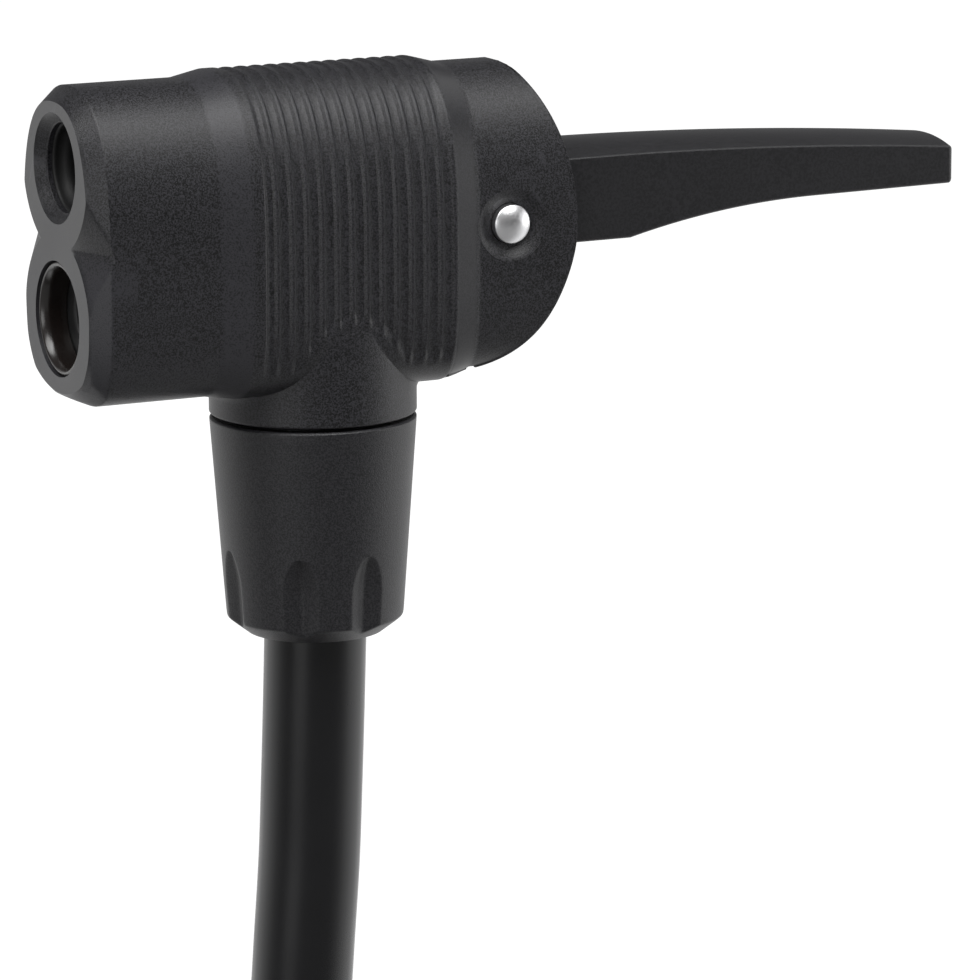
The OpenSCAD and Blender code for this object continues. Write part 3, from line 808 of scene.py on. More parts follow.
@dataclass(frozen=True)
class Studio:
    """Camera, lamps, floor and world."""

    azimuth: float = 26.053
    elevation: float = 11.847
    roll: float = -0.265
    focal: float = 5500.0
    frame_px: float = 980.0
    offset: Place = (-18.98, 28.24, 582.7)
    floor_z: float = -161.9
    floor_half: float = 6000.0
    floor_grey: float = 0.2
    # White seen by the camera near the object, what is added far off, and how far off that starts and ends.
    floor_white: Span = (0.9, 0.1)
    floor_fade: Span = (0.25, 0.7)
    # White mirrored towards the viewer, and what is added away from them.
    floor_mirrored: Span = (0.045, 0.855)
    floor_clear: float = 0.9
    sky_light: float = 0.06
    horizon_light: float = 0.2
    sky_mirrored: float = 0.05
    lit: Place = (30.0, 0.0, -20.0)
    # Each lamp's name, azimuth, elevation, distance, size and watts, as lamp takes them.
    lamps: tuple[tuple[str, float, float, float, Span, float], ...] = (
        ("left_box", -38, 57, 1.0, (0.7, 0.6), 5.7),
        ("low_left_box", -30, 2, 1.0, (0.5, 0.5), 1.8),
        ("right_box", 44, 56, 1.0, (0.7, 0.6), 5.8),
        ("side_box", 97, -4, 1.0, (0.6, 0.8), 3.2),
        ("back_right_box", 124, 42, 1.0, (0.7, 0.6), 1.4),
        ("back_left_box", -120, 10, 1.1, (0.7, 0.8), 0.9),
        ("top_box", 0, 76, 1.0, (0.7, 0.5), 2.0),
    )

    def directions(self) -> tuple[Array, Array, Array]:
        """The camera's right, up and forward directions.

        Returns:
            Three unit vectors.
        """
        a, e, r = (math.radians(v) for v in (self.azimuth, self.elevation, self.roll))
        right = np.array([math.cos(a), -math.sin(a), 0.0])
        up = np.array([math.sin(a) * math.sin(e), math.cos(a) * math.sin(e), math.cos(e)])
        ahead = np.array([math.sin(a) * math.cos(e), math.cos(a) * math.cos(e), -math.sin(e)])
        return math.cos(r) * right + math.sin(r) * up, math.cos(r) * up - math.sin(r) * right, ahead

    def camera(self) -> None:
        """Stands the camera off the hose's axis by the offset."""
        right, up, ahead = self.directions()
        x0, y0, far = self.offset
        at = -x0 * right - y0 * up - far * ahead + [HOSE_X, 0, MID_Z]
        data = bpy.data.cameras.new("camera")
        data.sensor_width, data.lens = 36.0, self.focal * 36.0 / self.frame_px
        data.clip_start, data.clip_end = 0.02, 50.0
        seen = bpy.data.objects.new("camera", data)
        axes = np.stack([right, up, -ahead], 1).tolist()
        seen.matrix_world = Matrix([[*row, p * MM] for row, p in zip(axes, at)] + [[0, 0, 0, 1]])
        bpy.context.scene.collection.objects.link(seen)
        bpy.context.scene.camera = seen

    def lamp(
        self, name: str, azimuth: float, elevation: float, distance: float, size: Span, watts: float
    ) -> None:
        """Hangs a soft box that faces the head.

        Args:
            name: the lamp's name.
            azimuth: degrees to the camera's right, seen from the head.
            elevation: degrees above the head.
            distance: metres from it.
            size: its width and height in metres.
            watts: its power.
        """
        a, e = math.radians(azimuth - self.azimuth), math.radians(elevation)
        toward = Vector((math.sin(a) * math.cos(e), -math.cos(a) * math.cos(e), math.sin(e)))
        data = bpy.data.lights.new(name, "AREA")
        data.shape, data.size, data.size_y, data.energy = "RECTANGLE", *size, watts
        made = bpy.data.objects.new(name, data)
        turn = toward.to_track_quat("Z", "Y").to_matrix().to_4x4()
        made.matrix_world = Matrix.Translation(Vector(self.lit) * MM + toward * distance) @ turn
        bpy.context.scene.collection.objects.link(made)

    def away(self, x: Wire, y: Wire) -> Wire:
        """How far a level place or direction lies away from the viewer's side."""
        a = math.radians(self.azimuth)
        return x * math.sin(a) + y * math.cos(a)

    def world(self) -> None:
        """A surround that is white behind the object and lends it a little light all round."""
        world = bpy.data.worlds.new("surround")
        bpy.context.scene.world = world
        g = Graph(world)
        x, y, z = g.split(g.add("ShaderNodeTexCoord", out="Generated"))
        horizon = self.away(x, y).ease(0.1, 0.9) * (1 - z.ease(0.12, 0.5))
        level = self.sky_light + horizon * self.horizon_light
        camera, glossy, clear = g.rays()
        seen = camera.most(clear).most(glossy * self.sky_mirrored)
        strength = level * (1 - seen) + seen
        g.surface(g.add("ShaderNodeBackground", None, {"Color": (1, 1, 1, 1), "Strength": strength}))

    def floor(self) -> None:
        """A pale floor that turns white where nothing shades it, and far from the object."""
        corners = np.array([[-1, -1, 0], [1, -1, 0], [1, 1, 0], [-1, 1, 0]])
        sheet = corners * self.floor_half + [0, 0, self.floor_z]
        thing = Shell(sheet, [[0, 1, 2, 3]]).mesh("floor")
        material, g = new_graph("pale_floor")
        paint = g.add("ShaderNodeBsdfDiffuse", None, {"Color": (*[self.floor_grey] * 3, 1)})
        x, y, _ = g.split(g.place())
        x = x - HOSE_X * MM
        reach = (x * x + y * y) ** 0.5
        share = self.away(x, y) / (reach + 0.002)
        camera, glossy, clear = g.rays()
        (near, more), (low, added) = self.floor_white, self.floor_mirrored
        white = camera * (near + reach.ease(*self.floor_fade) * more)
        mirrored = glossy * (low + share.ease(-0.6, 0.4) * added)
        seen = white.most(mirrored).most(clear * self.floor_clear)
        glow = g.add("ShaderNodeEmission", None, {"Color": (1, 1, 1, 1), "Strength": seen})
        g.surface(g.add("ShaderNodeAddShader", None, {0: paint, 1: glow}))
        thing.data.materials.append(material)

    def build(self) -> None:
        """Sets the whole studio up."""
        self.camera()
        self.floor()
        self.world()
        for lamp in self.lamps:
            self.lamp(*lamp)
        bpy.context.scene.view_settings.view_transform = "Standard"


# ---- Hose ----


@dataclass
class Hose:
    """The free hose, its coil and tie, and the fitting on its far end."""

    diameter: float = 11.0
    route: tuple[Span, ...] = (
        (27.4, -51.8), (27.1, -60.3), (26.75, -68.8), (26.35, -77.3), (25.7, -85.8), (25.0, -94.2),
        (23.8, -102.6), (21.8, -110.9), (18.9, -118.9), (14.7, -126.3), (9.4, -133.0), (3.1, -138.7),
        (-4.0, -143.3), (-11.8, -146.7), (-20.1, -148.7), (-28.6, -149.4),
    )
    coil_mid: Place = (-28.6, 46.0, -154.4)
    start_radius: float = 46.0
    growth: float = 12.6
    turns: float = 2.25
    rise: float = 5.0
    rise_angle: float = 120.0
    end_len: float = 11.0
    tie_angle: float = 200.0
    tie_inner: float = 6.6
    tie_shift: float = -0.24
    tie_thick: float = 0.8
    tie_width: float = 12.0
    sleeve_outer: float = 6.95
    sleeve_inner: float = 6.15
    sleeve_len: float = 16.0
    crimps: tuple[float, ...] = (3.2, 6.4, 9.6)
    crimp_depth: float = 0.44
    hexagon_half: float = 6.0
    hexagon_ends: Span = (18.0, 24.0)
    thread_r: float = 4.85
    thread_pitch: float = 0.907
    thread_ends: Span = (25.3, 32.0)

    def coil_point(self, degrees: Array) -> Array:
        """Points of the coil: middle + height up - radius (sin t, cos t), with the radius growing
        steadily and the height sinking as a cosine within the rise angle.

        Args:
            degrees: how far round the coil each point lies.

        Returns:
            The points as rows.
        """
        t = np.radians(degrees)
        radius = self.start_radius + self.growth * degrees / 360
        height = self.rise * (1 + np.cos(np.pi * np.minimum(degrees / self.rise_angle, 1))) / 2
        x, y, z = self.coil_mid
        return np.stack([x - radius * np.sin(t), y - radius * np.cos(t), z + height], axis=1)

    @property
    def end(self) -> Array:
        """Where the coil ends, from which the fitting's pieces are measured along Y."""
        return self.coil_point(np.array([360 * self.turns]))[0]

    def line(self) -> Array:
        """The hose's centre line from the nut to the fitting.

        Returns:
            The line's points as rows.
        """
        drop = through(np.array([(x, 0.0, z) for x, z in self.route]), 8)
        coil = self.coil_point(np.linspace(0, 360 * self.turns, 540)[1:])
        tail = coil[-1] + np.linspace(0.25, 1, 4)[:, None] * [0, self.end_len, 0]
        return np.vstack([drop, coil, tail])

    def cord(self) -> bpy.types.Object:
        """Draws the hose as one curve.

        Returns:
            The hose.
        """
        line = self.line()
        data = bpy.data.curves.new("air_hose", "CURVE")
        data.dimensions, data.use_fill_caps = "3D", True
        data.bevel_depth, data.bevel_resolution = self.diameter / 2 * MM, 12
        spline = data.splines.new("POLY")
        spline.points.add(len(line) - 1)
        spline.points.foreach_set("co", np.column_stack([line * MM, np.ones(len(line))]).ravel())
        spline.use_smooth = True
        thing = bpy.data.objects.new("air_hose", data)
        bpy.context.scene.collection.objects.link(thing)
        return dress(thing, "head", HOSE_RUBBER, "hose_rubber", "hose", "hose_coil")

    def tie(self) -> None:
        """A strap round two turns: a rounded band carried round a long loop with two round ends."""
        t = math.radians(self.tie_angle)
        out, along = np.array([-math.sin(t), -math.cos(t), 0]), np.array([-math.cos(t), math.sin(t), 0])
        near = self.start_radius + self.growth * self.tie_angle / 360 + self.tie_shift
        turn, across = circle(120), circle(24)
        middle = np.array([near, 0]) + np.where(np.cos(turn) > 0, self.growth, 0)[:, None] * [1, 0]
        direction = np.stack([np.cos(turn), np.sin(turn)], axis=1)
        wide = self.tie_width / 2 * np.sign(np.cos(across)) * np.abs(np.cos(across)) ** 0.3
        deep = self.tie_thick / 2 * np.sign(np.sin(across)) * np.abs(np.sin(across)) ** 0.6
        reach = self.tie_inner + self.tie_thick / 2 + deep[None, :]
        flat = middle[:, None, :] + reach[..., None] * direction[:, None, :]
        rings = np.array(self.coil_mid) + flat[..., :1] * out + flat[..., 1:] * [0, 0, 1] + wide[None, :, None] * along
        piece(Shell.tube(rings[:, ::-1], closed=True), "coil_tie", 40, "head", STRAP_RUBBER, "tie_strap", "hose_tie")

    def ferrule(self) -> bpy.types.Object:
        """A sleeve crimped in three bands over the hose's end.

        Returns:
            The sleeve.
        """
        outer, inner, length = self.sleeve_outer, self.sleeve_inner, self.sleeve_len
        h = np.linspace(0.5, length - 0.5, 90)
        dip = self.crimp_depth * sum(np.exp(-(((h - c) / 0.85) ** 2)) for c in self.crimps)
        profile = np.vstack([
            [[inner, 0.3], [inner + 0.25, 0.0], [outer - 0.3, 0.0], [outer - 0.05, 0.2]],
            np.column_stack([outer - dip, h]),
            [[outer - 0.1, length - 0.2], [outer - 0.5, length], [4.6, length], [4.5, length - 0.2]],
            [[4.5, 11.3], [4.7, 11.05], [inner, 11.05]],
        ])
        shell = Shell.lathe(profile, self.end, Axis.Y, 72, True)
        return piece(shell, "crimp_ferrule", 35, "head", ZINC, "crimped_steel", "pump_end_ferrule")

    def fitting(self) -> bpy.types.Object:
        """A hexagon with turned chamfers, and a thread that winds round its end.

        Returns:
            The fitting.
        """
        around = 144
        low, high = self.hexagon_ends
        start, end = self.thread_ends
        turn = circle(around)
        hexagon = self.hexagon_half / np.cos((turn + np.pi / 6) % (np.pi / 3) - np.pi / 6)
        h = runs(
            11.1, (low - 0.1, 8), (low + 0.02, 1), (low + 1, 6), (high - 1, 2), (high - 0.02, 6), (high + 0.1, 1),
            (start, 3), (end - 0.8, 90), (end, 6),
        )
        radius = np.full((len(h), around), 4.4)
        body = (h > low) & (h < high)
        cone = 6.25 + 1.9 * np.minimum(h - low, high - h)
        radius[body] = soft_min(hexagon[None, :] + 0 * h[body, None], cone[body, None], 0.06)
        radius[(h >= high) & (h < start)] = 4.15
        thread = self.thread_r - 0.5 * off_crest(h - start, self.thread_pitch, around) ** 1.2
        tip = np.minimum(self.thread_r, 4.2 + (end - h))[:, None]
        radius[h >= start] = np.minimum(thread, tip)[h >= start]
        bore = np.array([[1.9, 32.0], [1.6, 31.7], [1.6, 11.3], [1.8, 11.1]])
        shell = Shell.lathe(bored(radius, h, bore), self.end, Axis.Y, around, True)
        return piece(shell, "thread_fitting", 32, "head", BRASS, "brass", "pump_end_fitting")

    def seal(self) -> bpy.types.Object:
        """The rounded washer under the thread's hexagon.

        Returns:
            The washer.
        """
        profile = rounded([(4.2, 24.05, 0.2), (5.85, 24.05, 0.35), (5.85, 25.25, 0.35), (4.2, 25.25, 0.2)])
        shell = Shell.lathe(profile, self.end, Axis.Y, 72, True)
        return piece(shell, "thread_seal", 50, "head", RUBBER, "black_rubber", "pump_end_seal")

    def build(self) -> None:
        hose = self.cord()
        pieces = [self.ferrule(), self.fitting(), self.seal()]
        self.tie()
        line = self.line()
        tuple(float(v) * MM for v in line[0])


# ---- Head ----


@dataclass
class Head:
    """The head's moulding: a bevelled nose, a ribbed barrel, two cheeks and the hose's boss."""

    face_x: float = -1.6
    rear_x: float = 53.8
    nose: Span = (10.5, 16.4)
    barrel: Span = (11.2, 17.12)
    rear: Span = (10.4, 16.3)
    bevel: float = 1.9
    bevel_in: Span = (1.65, 0.75)
    bevel_top: float = 0.8
    ramp: Span = (12.5, 15.95)
    rear_ramp: Span = (39.2, 42.3)
    rib_start: float = 18.68
    rib_pitch: float = 1.71
    rib_count: int = 12
    rib_half: float = 0.08
    rib_ramp: float = 0.4
    groove: float = 0.3
    # The arch over the boss: its height, the divisor of the squared distance, and its greatest fall.
    arch: tuple[float, float, float] = (-9.2, 8.5, 4.8)
    # Radius of a port's disc on the face, how much it grows, and over what depth.
    lobe: tuple[float, float, float] = (8.9, 7.4, 4.0)
    top_power: float = 2.5
    low_power: float = 4.5
    half_count: int = 104
    nose_drop: float = 0.014
    # The toe's arc: how low its middle is, its radius on the face and its growth with depth.
    toe: tuple[float, float, float] = (2.65, 13.05, 1.05)
    cap_r: float = 29.0
    # The heel: how low its middle is, its radius and the share by which it draws in.
    heel: tuple[float, float, float] = (1.5, 14.8, 0.25)
    boss_r: float = 11.1
    boss_foot: float = -28.0
    boss_flare: float = 1.35
    # Half width and half height of the oval just inside the barrel that the boss's flare runs up to.
    core: Span = (11.0, 16.8)
    thread_pitch: float = 1.5
    thread_r: float = 8.4
    thread_ends: Span = (28.9, 41.5)
    port_r: float = 6.5
    chamber: Span = (14.3, 38.3)
    slot_half: float = 7.3
    pin_hole_r: float = 2.2

    def stations(self) -> Array:
        """Places of the rings along X: closest on the bevel, the ribs and the rear end.

        Returns:
            The places in order.
        """
        face, (foot, crest) = self.face_x, self.ramp
        steps = np.arange(self.rib_count)[:, None] + np.linspace(-0.5, 0.5, 13)[None, :-1]
        ribs = self.rib_start + self.rib_pitch * steps.ravel()
        end = self.rear_x - 4.5 * (1 - np.sin(np.linspace(0, np.pi / 2, 40))) ** 1.3
        front = runs(
            face, (face + 1.7, 12), (face + 2.1, 5), (face + 4.2, 12), (foot - 0.3, 10), (foot + 0.3, 5),
            (crest - 0.3, 6), (crest + 0.3, 5), (17.6, 12),
        )
        back = runs(38.35, (39.0, 6), (39.6, 6), (42.0, 6), (42.6, 5), (48.5, 16), (49.3, 5))
        return np.unique(np.round(np.concatenate([front, ribs, back, end]), 4))

    def rib_dip(self, x: Array) -> Array:
        """How far the barrel lies below its crests: nothing on a crest, then a shallow scoop.

        Args:
            x: places along X.

        Returns:
            The depth at each.
        """
        first, last = self.rib_start, self.rib_start + self.rib_pitch * (self.rib_count - 1)
        away = np.abs(x - first - self.rib_pitch * np.round((x - first) / self.rib_pitch))
        scoop = smooth_step(away, self.rib_half, self.rib_half + self.rib_ramp) * (0.86 + 0.28 * away / self.rib_pitch)
        inside = smooth_step(x, first - 1.5, first - 1.0) * (1 - smooth_step(x, last + 0.9, last + 1.8))
        return self.groove * scoop * inside

    def runs_out(self, x: Array, z: Array) -> Array:
        """Share of a groove's depth that is left: none under an arch over the boss, whose height
        falls as the square of the distance from the boss's middle, and none on the underside.

        Args:
            x: places along X.
            z: heights on the outline.

        Returns:
            The share from 0 to 1.
        """
        height, divisor, fall = self.arch
        arch = height - np.minimum((x - HOSE_X) ** 2 / divisor, fall)
        return smooth_step(z, arch - 0.5, arch + 1.3)

    @staticmethod
    def climb(x: Array, ramp: Span) -> Array:
        """Rises straight from 0 to 1 along a ramp in X, rounded where it starts and stops."""
        low, high = ramp
        return soft_max(np.zeros_like(x), soft_min((x - low) / (high - low), np.ones_like(x), 0.03), 0.03)

    def girth(self, x: Array) -> tuple[Array, ...]:
        """Half width and half height along the head, before its ends are shaped.

        Args:
            x: places along X.

        Returns:
            Both at each place.
        """
        up, down = self.climb(x, self.ramp), self.climb(x, self.rear_ramp)
        edge = np.maximum(self.bevel - (x - self.face_x), 0) / self.bevel
        return tuple(
            nose + (barrel - nose) * up + (rear - barrel) * down - inward * edge
            for nose, barrel, rear, inward in zip(self.nose, self.barrel, self.rear, self.bevel_in)
        )

    def half_width(self, z: Array, a: Array, b: Array) -> Array:
        """Half width of the oval at a height: a (1 - |z / b|^p)^(1 / p)."""
        p = np.where(z > 0, self.top_power, self.low_power)
        return a * np.maximum(1 - np.abs(z / b) ** p, 0) ** (1 / p)

    def clip(self, y: Array, z: Array, a: Array, b: Array, cap: Array, sign: int) -> tuple[Array, Array]:
        """Cuts the outline off level at a cap and rounds the corner that this leaves.

        Args:
            y: half widths of the outline.
            z: its heights.
            a: half width of the oval.
            b: half height of the oval.
            cap: the height to cut at.
            sign: 1 for the top and -1 for the bottom.

        Returns:
            The changed half widths and heights.
        """
        height, cap = z * sign, cap * sign
        r = np.clip(0.5 * (b - cap), 1e-4, 0.35)
        low, high = cap - r, np.minimum(cap + r, b - 1e-3)
        wall, ledge = self.half_width(low * sign, a, b), self.half_width(high * sign, a, b)
        t = np.clip((height - low) / (high - low), 0, 1) * np.pi / 2
        corner_y, corner_z = wall - r + r * np.cos(t), low + r * np.sin(t)
        flat_y = y * (wall - r) / np.maximum(ledge, 1e-6)
        cut = (height > low) & (cap < b)
        y = np.where(cut & (height > high), flat_y, np.where(cut, corner_y, y))
        return y, np.where(cut, corner_z, height) * sign

    def outlines(self, x: Array) -> Array:
        """Dense half outlines of the head, from the bottom round one side to the top.

        Each is an oval with one power above its middle and another below, less the grooves, and a
        little deeper below along the nose. The nose keeps within two growing discs, one round each
        port, and within a growing arc at its toe. The rear end is cut off level by a shallow arc
        above, and below by the heel: a quarter oval that draws in towards its end.

        Args:
            x: the rings' places.

        Returns:
            Half widths and heights for each ring.
        """
        a, b = (v[:, None] for v in self.girth(x))
        angle = np.linspace(-np.pi / 2, np.pi / 2, 721)[None, :]
        x = x[:, None]
        deep = x - self.face_x
        p = np.where(angle > 0, self.top_power, self.low_power)
        scale = (np.abs(np.cos(angle)) ** p + np.abs(np.sin(angle)) ** p) ** (-1 / p)
        y, z = a * np.cos(angle) * scale, b * np.sin(angle) * scale
        dip = self.rib_dip(x) * self.runs_out(x, z)
        across, along = np.abs(y / a) ** (p - 1) / a, np.sign(z) * np.abs(z / b) ** (p - 1) / b
        size = np.maximum(np.hypot(across, along), 1e-9)
        y, z = y - dip * across / size, z - dip * along / size
        z = np.where(z < 0, z * (1 + self.nose_drop * (1 - smooth_step(x, 12.0, 17.0))), z)
        z = z - self.bevel_top * np.maximum(self.bevel - deep, 0) / self.bevel * np.maximum(z / b, 0) ** 2
        start, flare, length = self.lobe
        r = start + flare * deep / length
        lobed = soft_min(y, soft_max(arc(r, z - PITCH / 2), arc(r, z + PITCH / 2), 0.08), 0.06)
        y = np.where((deep < length) & (lobed < y) & (np.abs(z) < 15.2), np.maximum(lobed, 0), y)
        drop, toe_r, growth = self.toe
        z = np.where((deep < 3) & (z < -6), soft_max(z, -drop - arc(toe_r + growth * deep, y), 0.08), z)
        drop, reach, draw = self.heel
        t = np.clip((x - self.rear_x) / reach + 1, 0, 1)
        below = -drop - reach * np.sqrt(1 - t**2) * (1 - draw * t**8)
        above = arc(self.cap_r, x - self.rear_x + self.cap_r)
        y, z = self.clip(y, z, a, b, np.where(x > 45, above, 99.0), 1)
        y, z = self.clip(y, z, a, b, np.where(x > 39.5, below, -99.0), -1)
        y[:, 0] = y[:, -1] = 0
        return np.stack([y, z], axis=-1)

    def rings(self) -> Array:
        """Spaces each outline's points by length, with more of them where it turns, and mirrors it.

        Returns:
            Rings of points.
        """
        x = self.stations()
        dense = self.outlines(x)
        step = np.diff(dense, axis=1)
        weight = np.linalg.norm(step, axis=-1)
        heading = np.unwrap(np.arctan2(step[..., 1], step[..., 0]), axis=1)
        bend = 0.6 * np.minimum(np.abs(np.diff(heading, axis=1)), 0.5)
        weight[:, 1:] += bend
        weight[:, :-1] += bend
        total = np.pad(np.cumsum(weight, axis=1), ((0, 0), (1, 0)))
        place = np.linspace(0, 1, self.half_count)
        half = np.stack([
            np.column_stack([np.interp(place * t[-1], t, v) for v in outline.T]) for t, outline in zip(total, dense)
        ])
        ring = np.concatenate([half, half[:, -2:0:-1] * [-1, 1]], axis=1)
        return stood(x, ring) + [0, 0, MID_Z]

    def boss(self) -> Shell:
        """The round boss under the barrel: a cylinder that flares into the barrel's underside as a
        quarter circle, and whose top sinks into the grooves in an arch on each side.

        Returns:
            The boss's shell.
        """
        around, r, foot = 192, self.boss_r, self.boss_foot
        turn = circle(around)
        h = runs(-13.0, (-16.2, 4), (-18.4, 10), (-21.0, 8), (-26.6, 30), (foot + 0.3, 3), (foot, 5))
        reach = self.boss_flare * np.sin(turn) ** 2
        side = np.abs((r + reach) * np.cos(turn))
        wide, high = self.core
        under = MID_Z - self.half_width(-np.minimum(side, wide - 0.3), high, wide)
        d = np.minimum(np.clip(under[None, :] - h[:, None], 0, None), reach[None, :])
        flare = reach - arc(reach, reach - d)
        edge = 0.2 * np.clip((foot + 0.25 - h) / 0.25, 0, 1) ** 2 + 0.35 * smooth_step(h, -18.6, -16.4)
        radius = r + flare - edge[:, None]
        return Shell.lathe(np.column_stack([radius, -h]), (HOSE_X, 0, 0), Axis.DOWN, around)

    def spigot(self) -> Shell:
        """The threaded tube that the nut runs on; the thread is a ridge wound once a pitch.

        Returns:
            The spigot's shell.
        """
        around, (start, end) = 144, self.thread_ends
        h = runs(27.0, (start, 4), (end - 0.6, 128), (end, 4))
        crest = self.thread_r - 0.62 * off_crest(h, self.thread_pitch, around) ** 1.3
        radius = np.where((h < start)[:, None], 7.8, np.minimum(crest, 7.6 + (end - h)[:, None]))
        return Shell.lathe(np.column_stack([radius, h]), (HOSE_X, 0, 0), Axis.DOWN, around)

    def cutters(self) -> list[Shell]:
        """Every hollow in the moulding: the ports' mouths, bores and chambers, the way between them, the
        lever's slot, a dish round each end of the pin, its hole, and the hose's two bores.

        Returns:
            The hollows' shells, in the order that they are cut.
        """
        upper, lower, pin, hose = (0, 0, 0), (0, 0, -PITCH), (PIN_X, 0, MID_Z), (HOSE_X, 0, 0)
        start, end = self.chamber
        wide = self.slot_half
        mouth = rounded([
            (0.02, -3, 0), (6.6, -3, 0), (5.9, -1.7, 0), (5.81, -1.6, 0.04), (4.85, -0.62, 0.06),
            (4.7, -0.52, 0.05), (4.7, 0.4, 0), (0.02, 0.4, 0),
        ])
        ring = rounded([(0.02, -3, 0), (6.75, -3, 0), (6.2, -1.7, 0), (6.1, -1.6, 0.05), (6.1, 0.4, 0), (0.02, 0.4, 0)])
        sweep = np.linspace(0, 1, 24)
        slope = np.column_stack([self.pin_hole_r + 1.75 * sweep, 9.62 + 0.78 * smooth_step(sweep, 0, 1.15)])
        dish = np.vstack([[[0.02, 9.62]], slope, [[4.6, 11.3]]])
        return [
            *(Shell.lathe(rows, port, Axis.X, 128) for rows, port in ((mouth, upper), (ring, lower))),
            *(Shell.rod(self.port_r, 0.0, start + 1, port, Axis.X) for port in (upper, lower)),
            *(Shell.rod(self.port_r + 0.01, start, end, port, Axis.X) for port in (upper, lower)),
            Shell.block((start, -6.35, -PITCH), (end, 6.35, 0)),
            Shell.block((end - 1.1, -wide, -16.0), (60, wide, -0.2)),
            Shell.block((42.3, -wide, -45), (60, wide, -8)),
            *(Shell.lathe(rows, pin, Axis.Y, 128) for rows in (dish, dish[::-1] * [1, -1])),
            Shell.rod(self.pin_hole_r, -14.0, 14.0, pin, Axis.Y),
            Shell.rod(2.4, 8.0, 45.0, hose, Axis.DOWN, 64),
            Shell.rod(5.6, 29.0, 46.0, hose, Axis.DOWN),
        ]

    def build(self) -> None:
        """Moulds the head, then cuts its hollows."""
        thing = Shell.tube(self.rings()).mesh("head_moulding")
        combine(thing, [self.boss(), self.spigot()], "UNION")
        combine(thing, self.cutters(), "DIFFERENCE")
        shade(thing, 28)
        dress(thing, "head", NYLON, "black_nylon", "head_body")


@dataclass
class Ports:
    """The seals that the valves push into."""

    radius: float = 6.4
    end: float = 9.0

    def build(self) -> None:
        """Turns both grommets and the glossy liner."""
        r, end = self.radius, self.end
        upper = [
            (r, 0, 0.3), (r, end, 0.3), (4.45, end, 0.15), (4.05, 8.6, 0.15), (4.05, 1.6, 0.4), (4.45, 0.9, 0.4),
            (4.45, 0, 0.35),
        ]
        self.ring("upper_grommet", rounded(upper), 0.0, SHADED_SEAL_RUBBER, "black_rubber", "schrader_grommet")
        lower = [(r, 1.6, 0.2), (r, end, 0.3), (3.7, end, 0.2), (3.1, 8.4, 0.15), (3.1, 1.6, 0.5)]
        self.ring("lower_grommet", rounded(lower), -PITCH, RUBBER, "black_rubber", "presta_grommet")
        liner = [
            (6.04, -1.2, 0.2), (6.04, 0, 0), (r, 0, 0.05), (r, 1.55, 0.05), (5.1, 1.55, 0.1), (5.1, -0.7, 0.5),
            (5.62, -1.45, 0.3),
        ]
        self.ring("port_liner", rounded(liner, 8), -PITCH, LINER, "gloss_black", "presta_liner")

    def ring(self, name: str, profile: Array, z: float, *look: object) -> None:
        """Turns one ring about a port's axis, with its finish and node."""
        piece(Shell.lathe(profile, (0, 0, z), Axis.X, 128, True), name, 42, "head", *look)


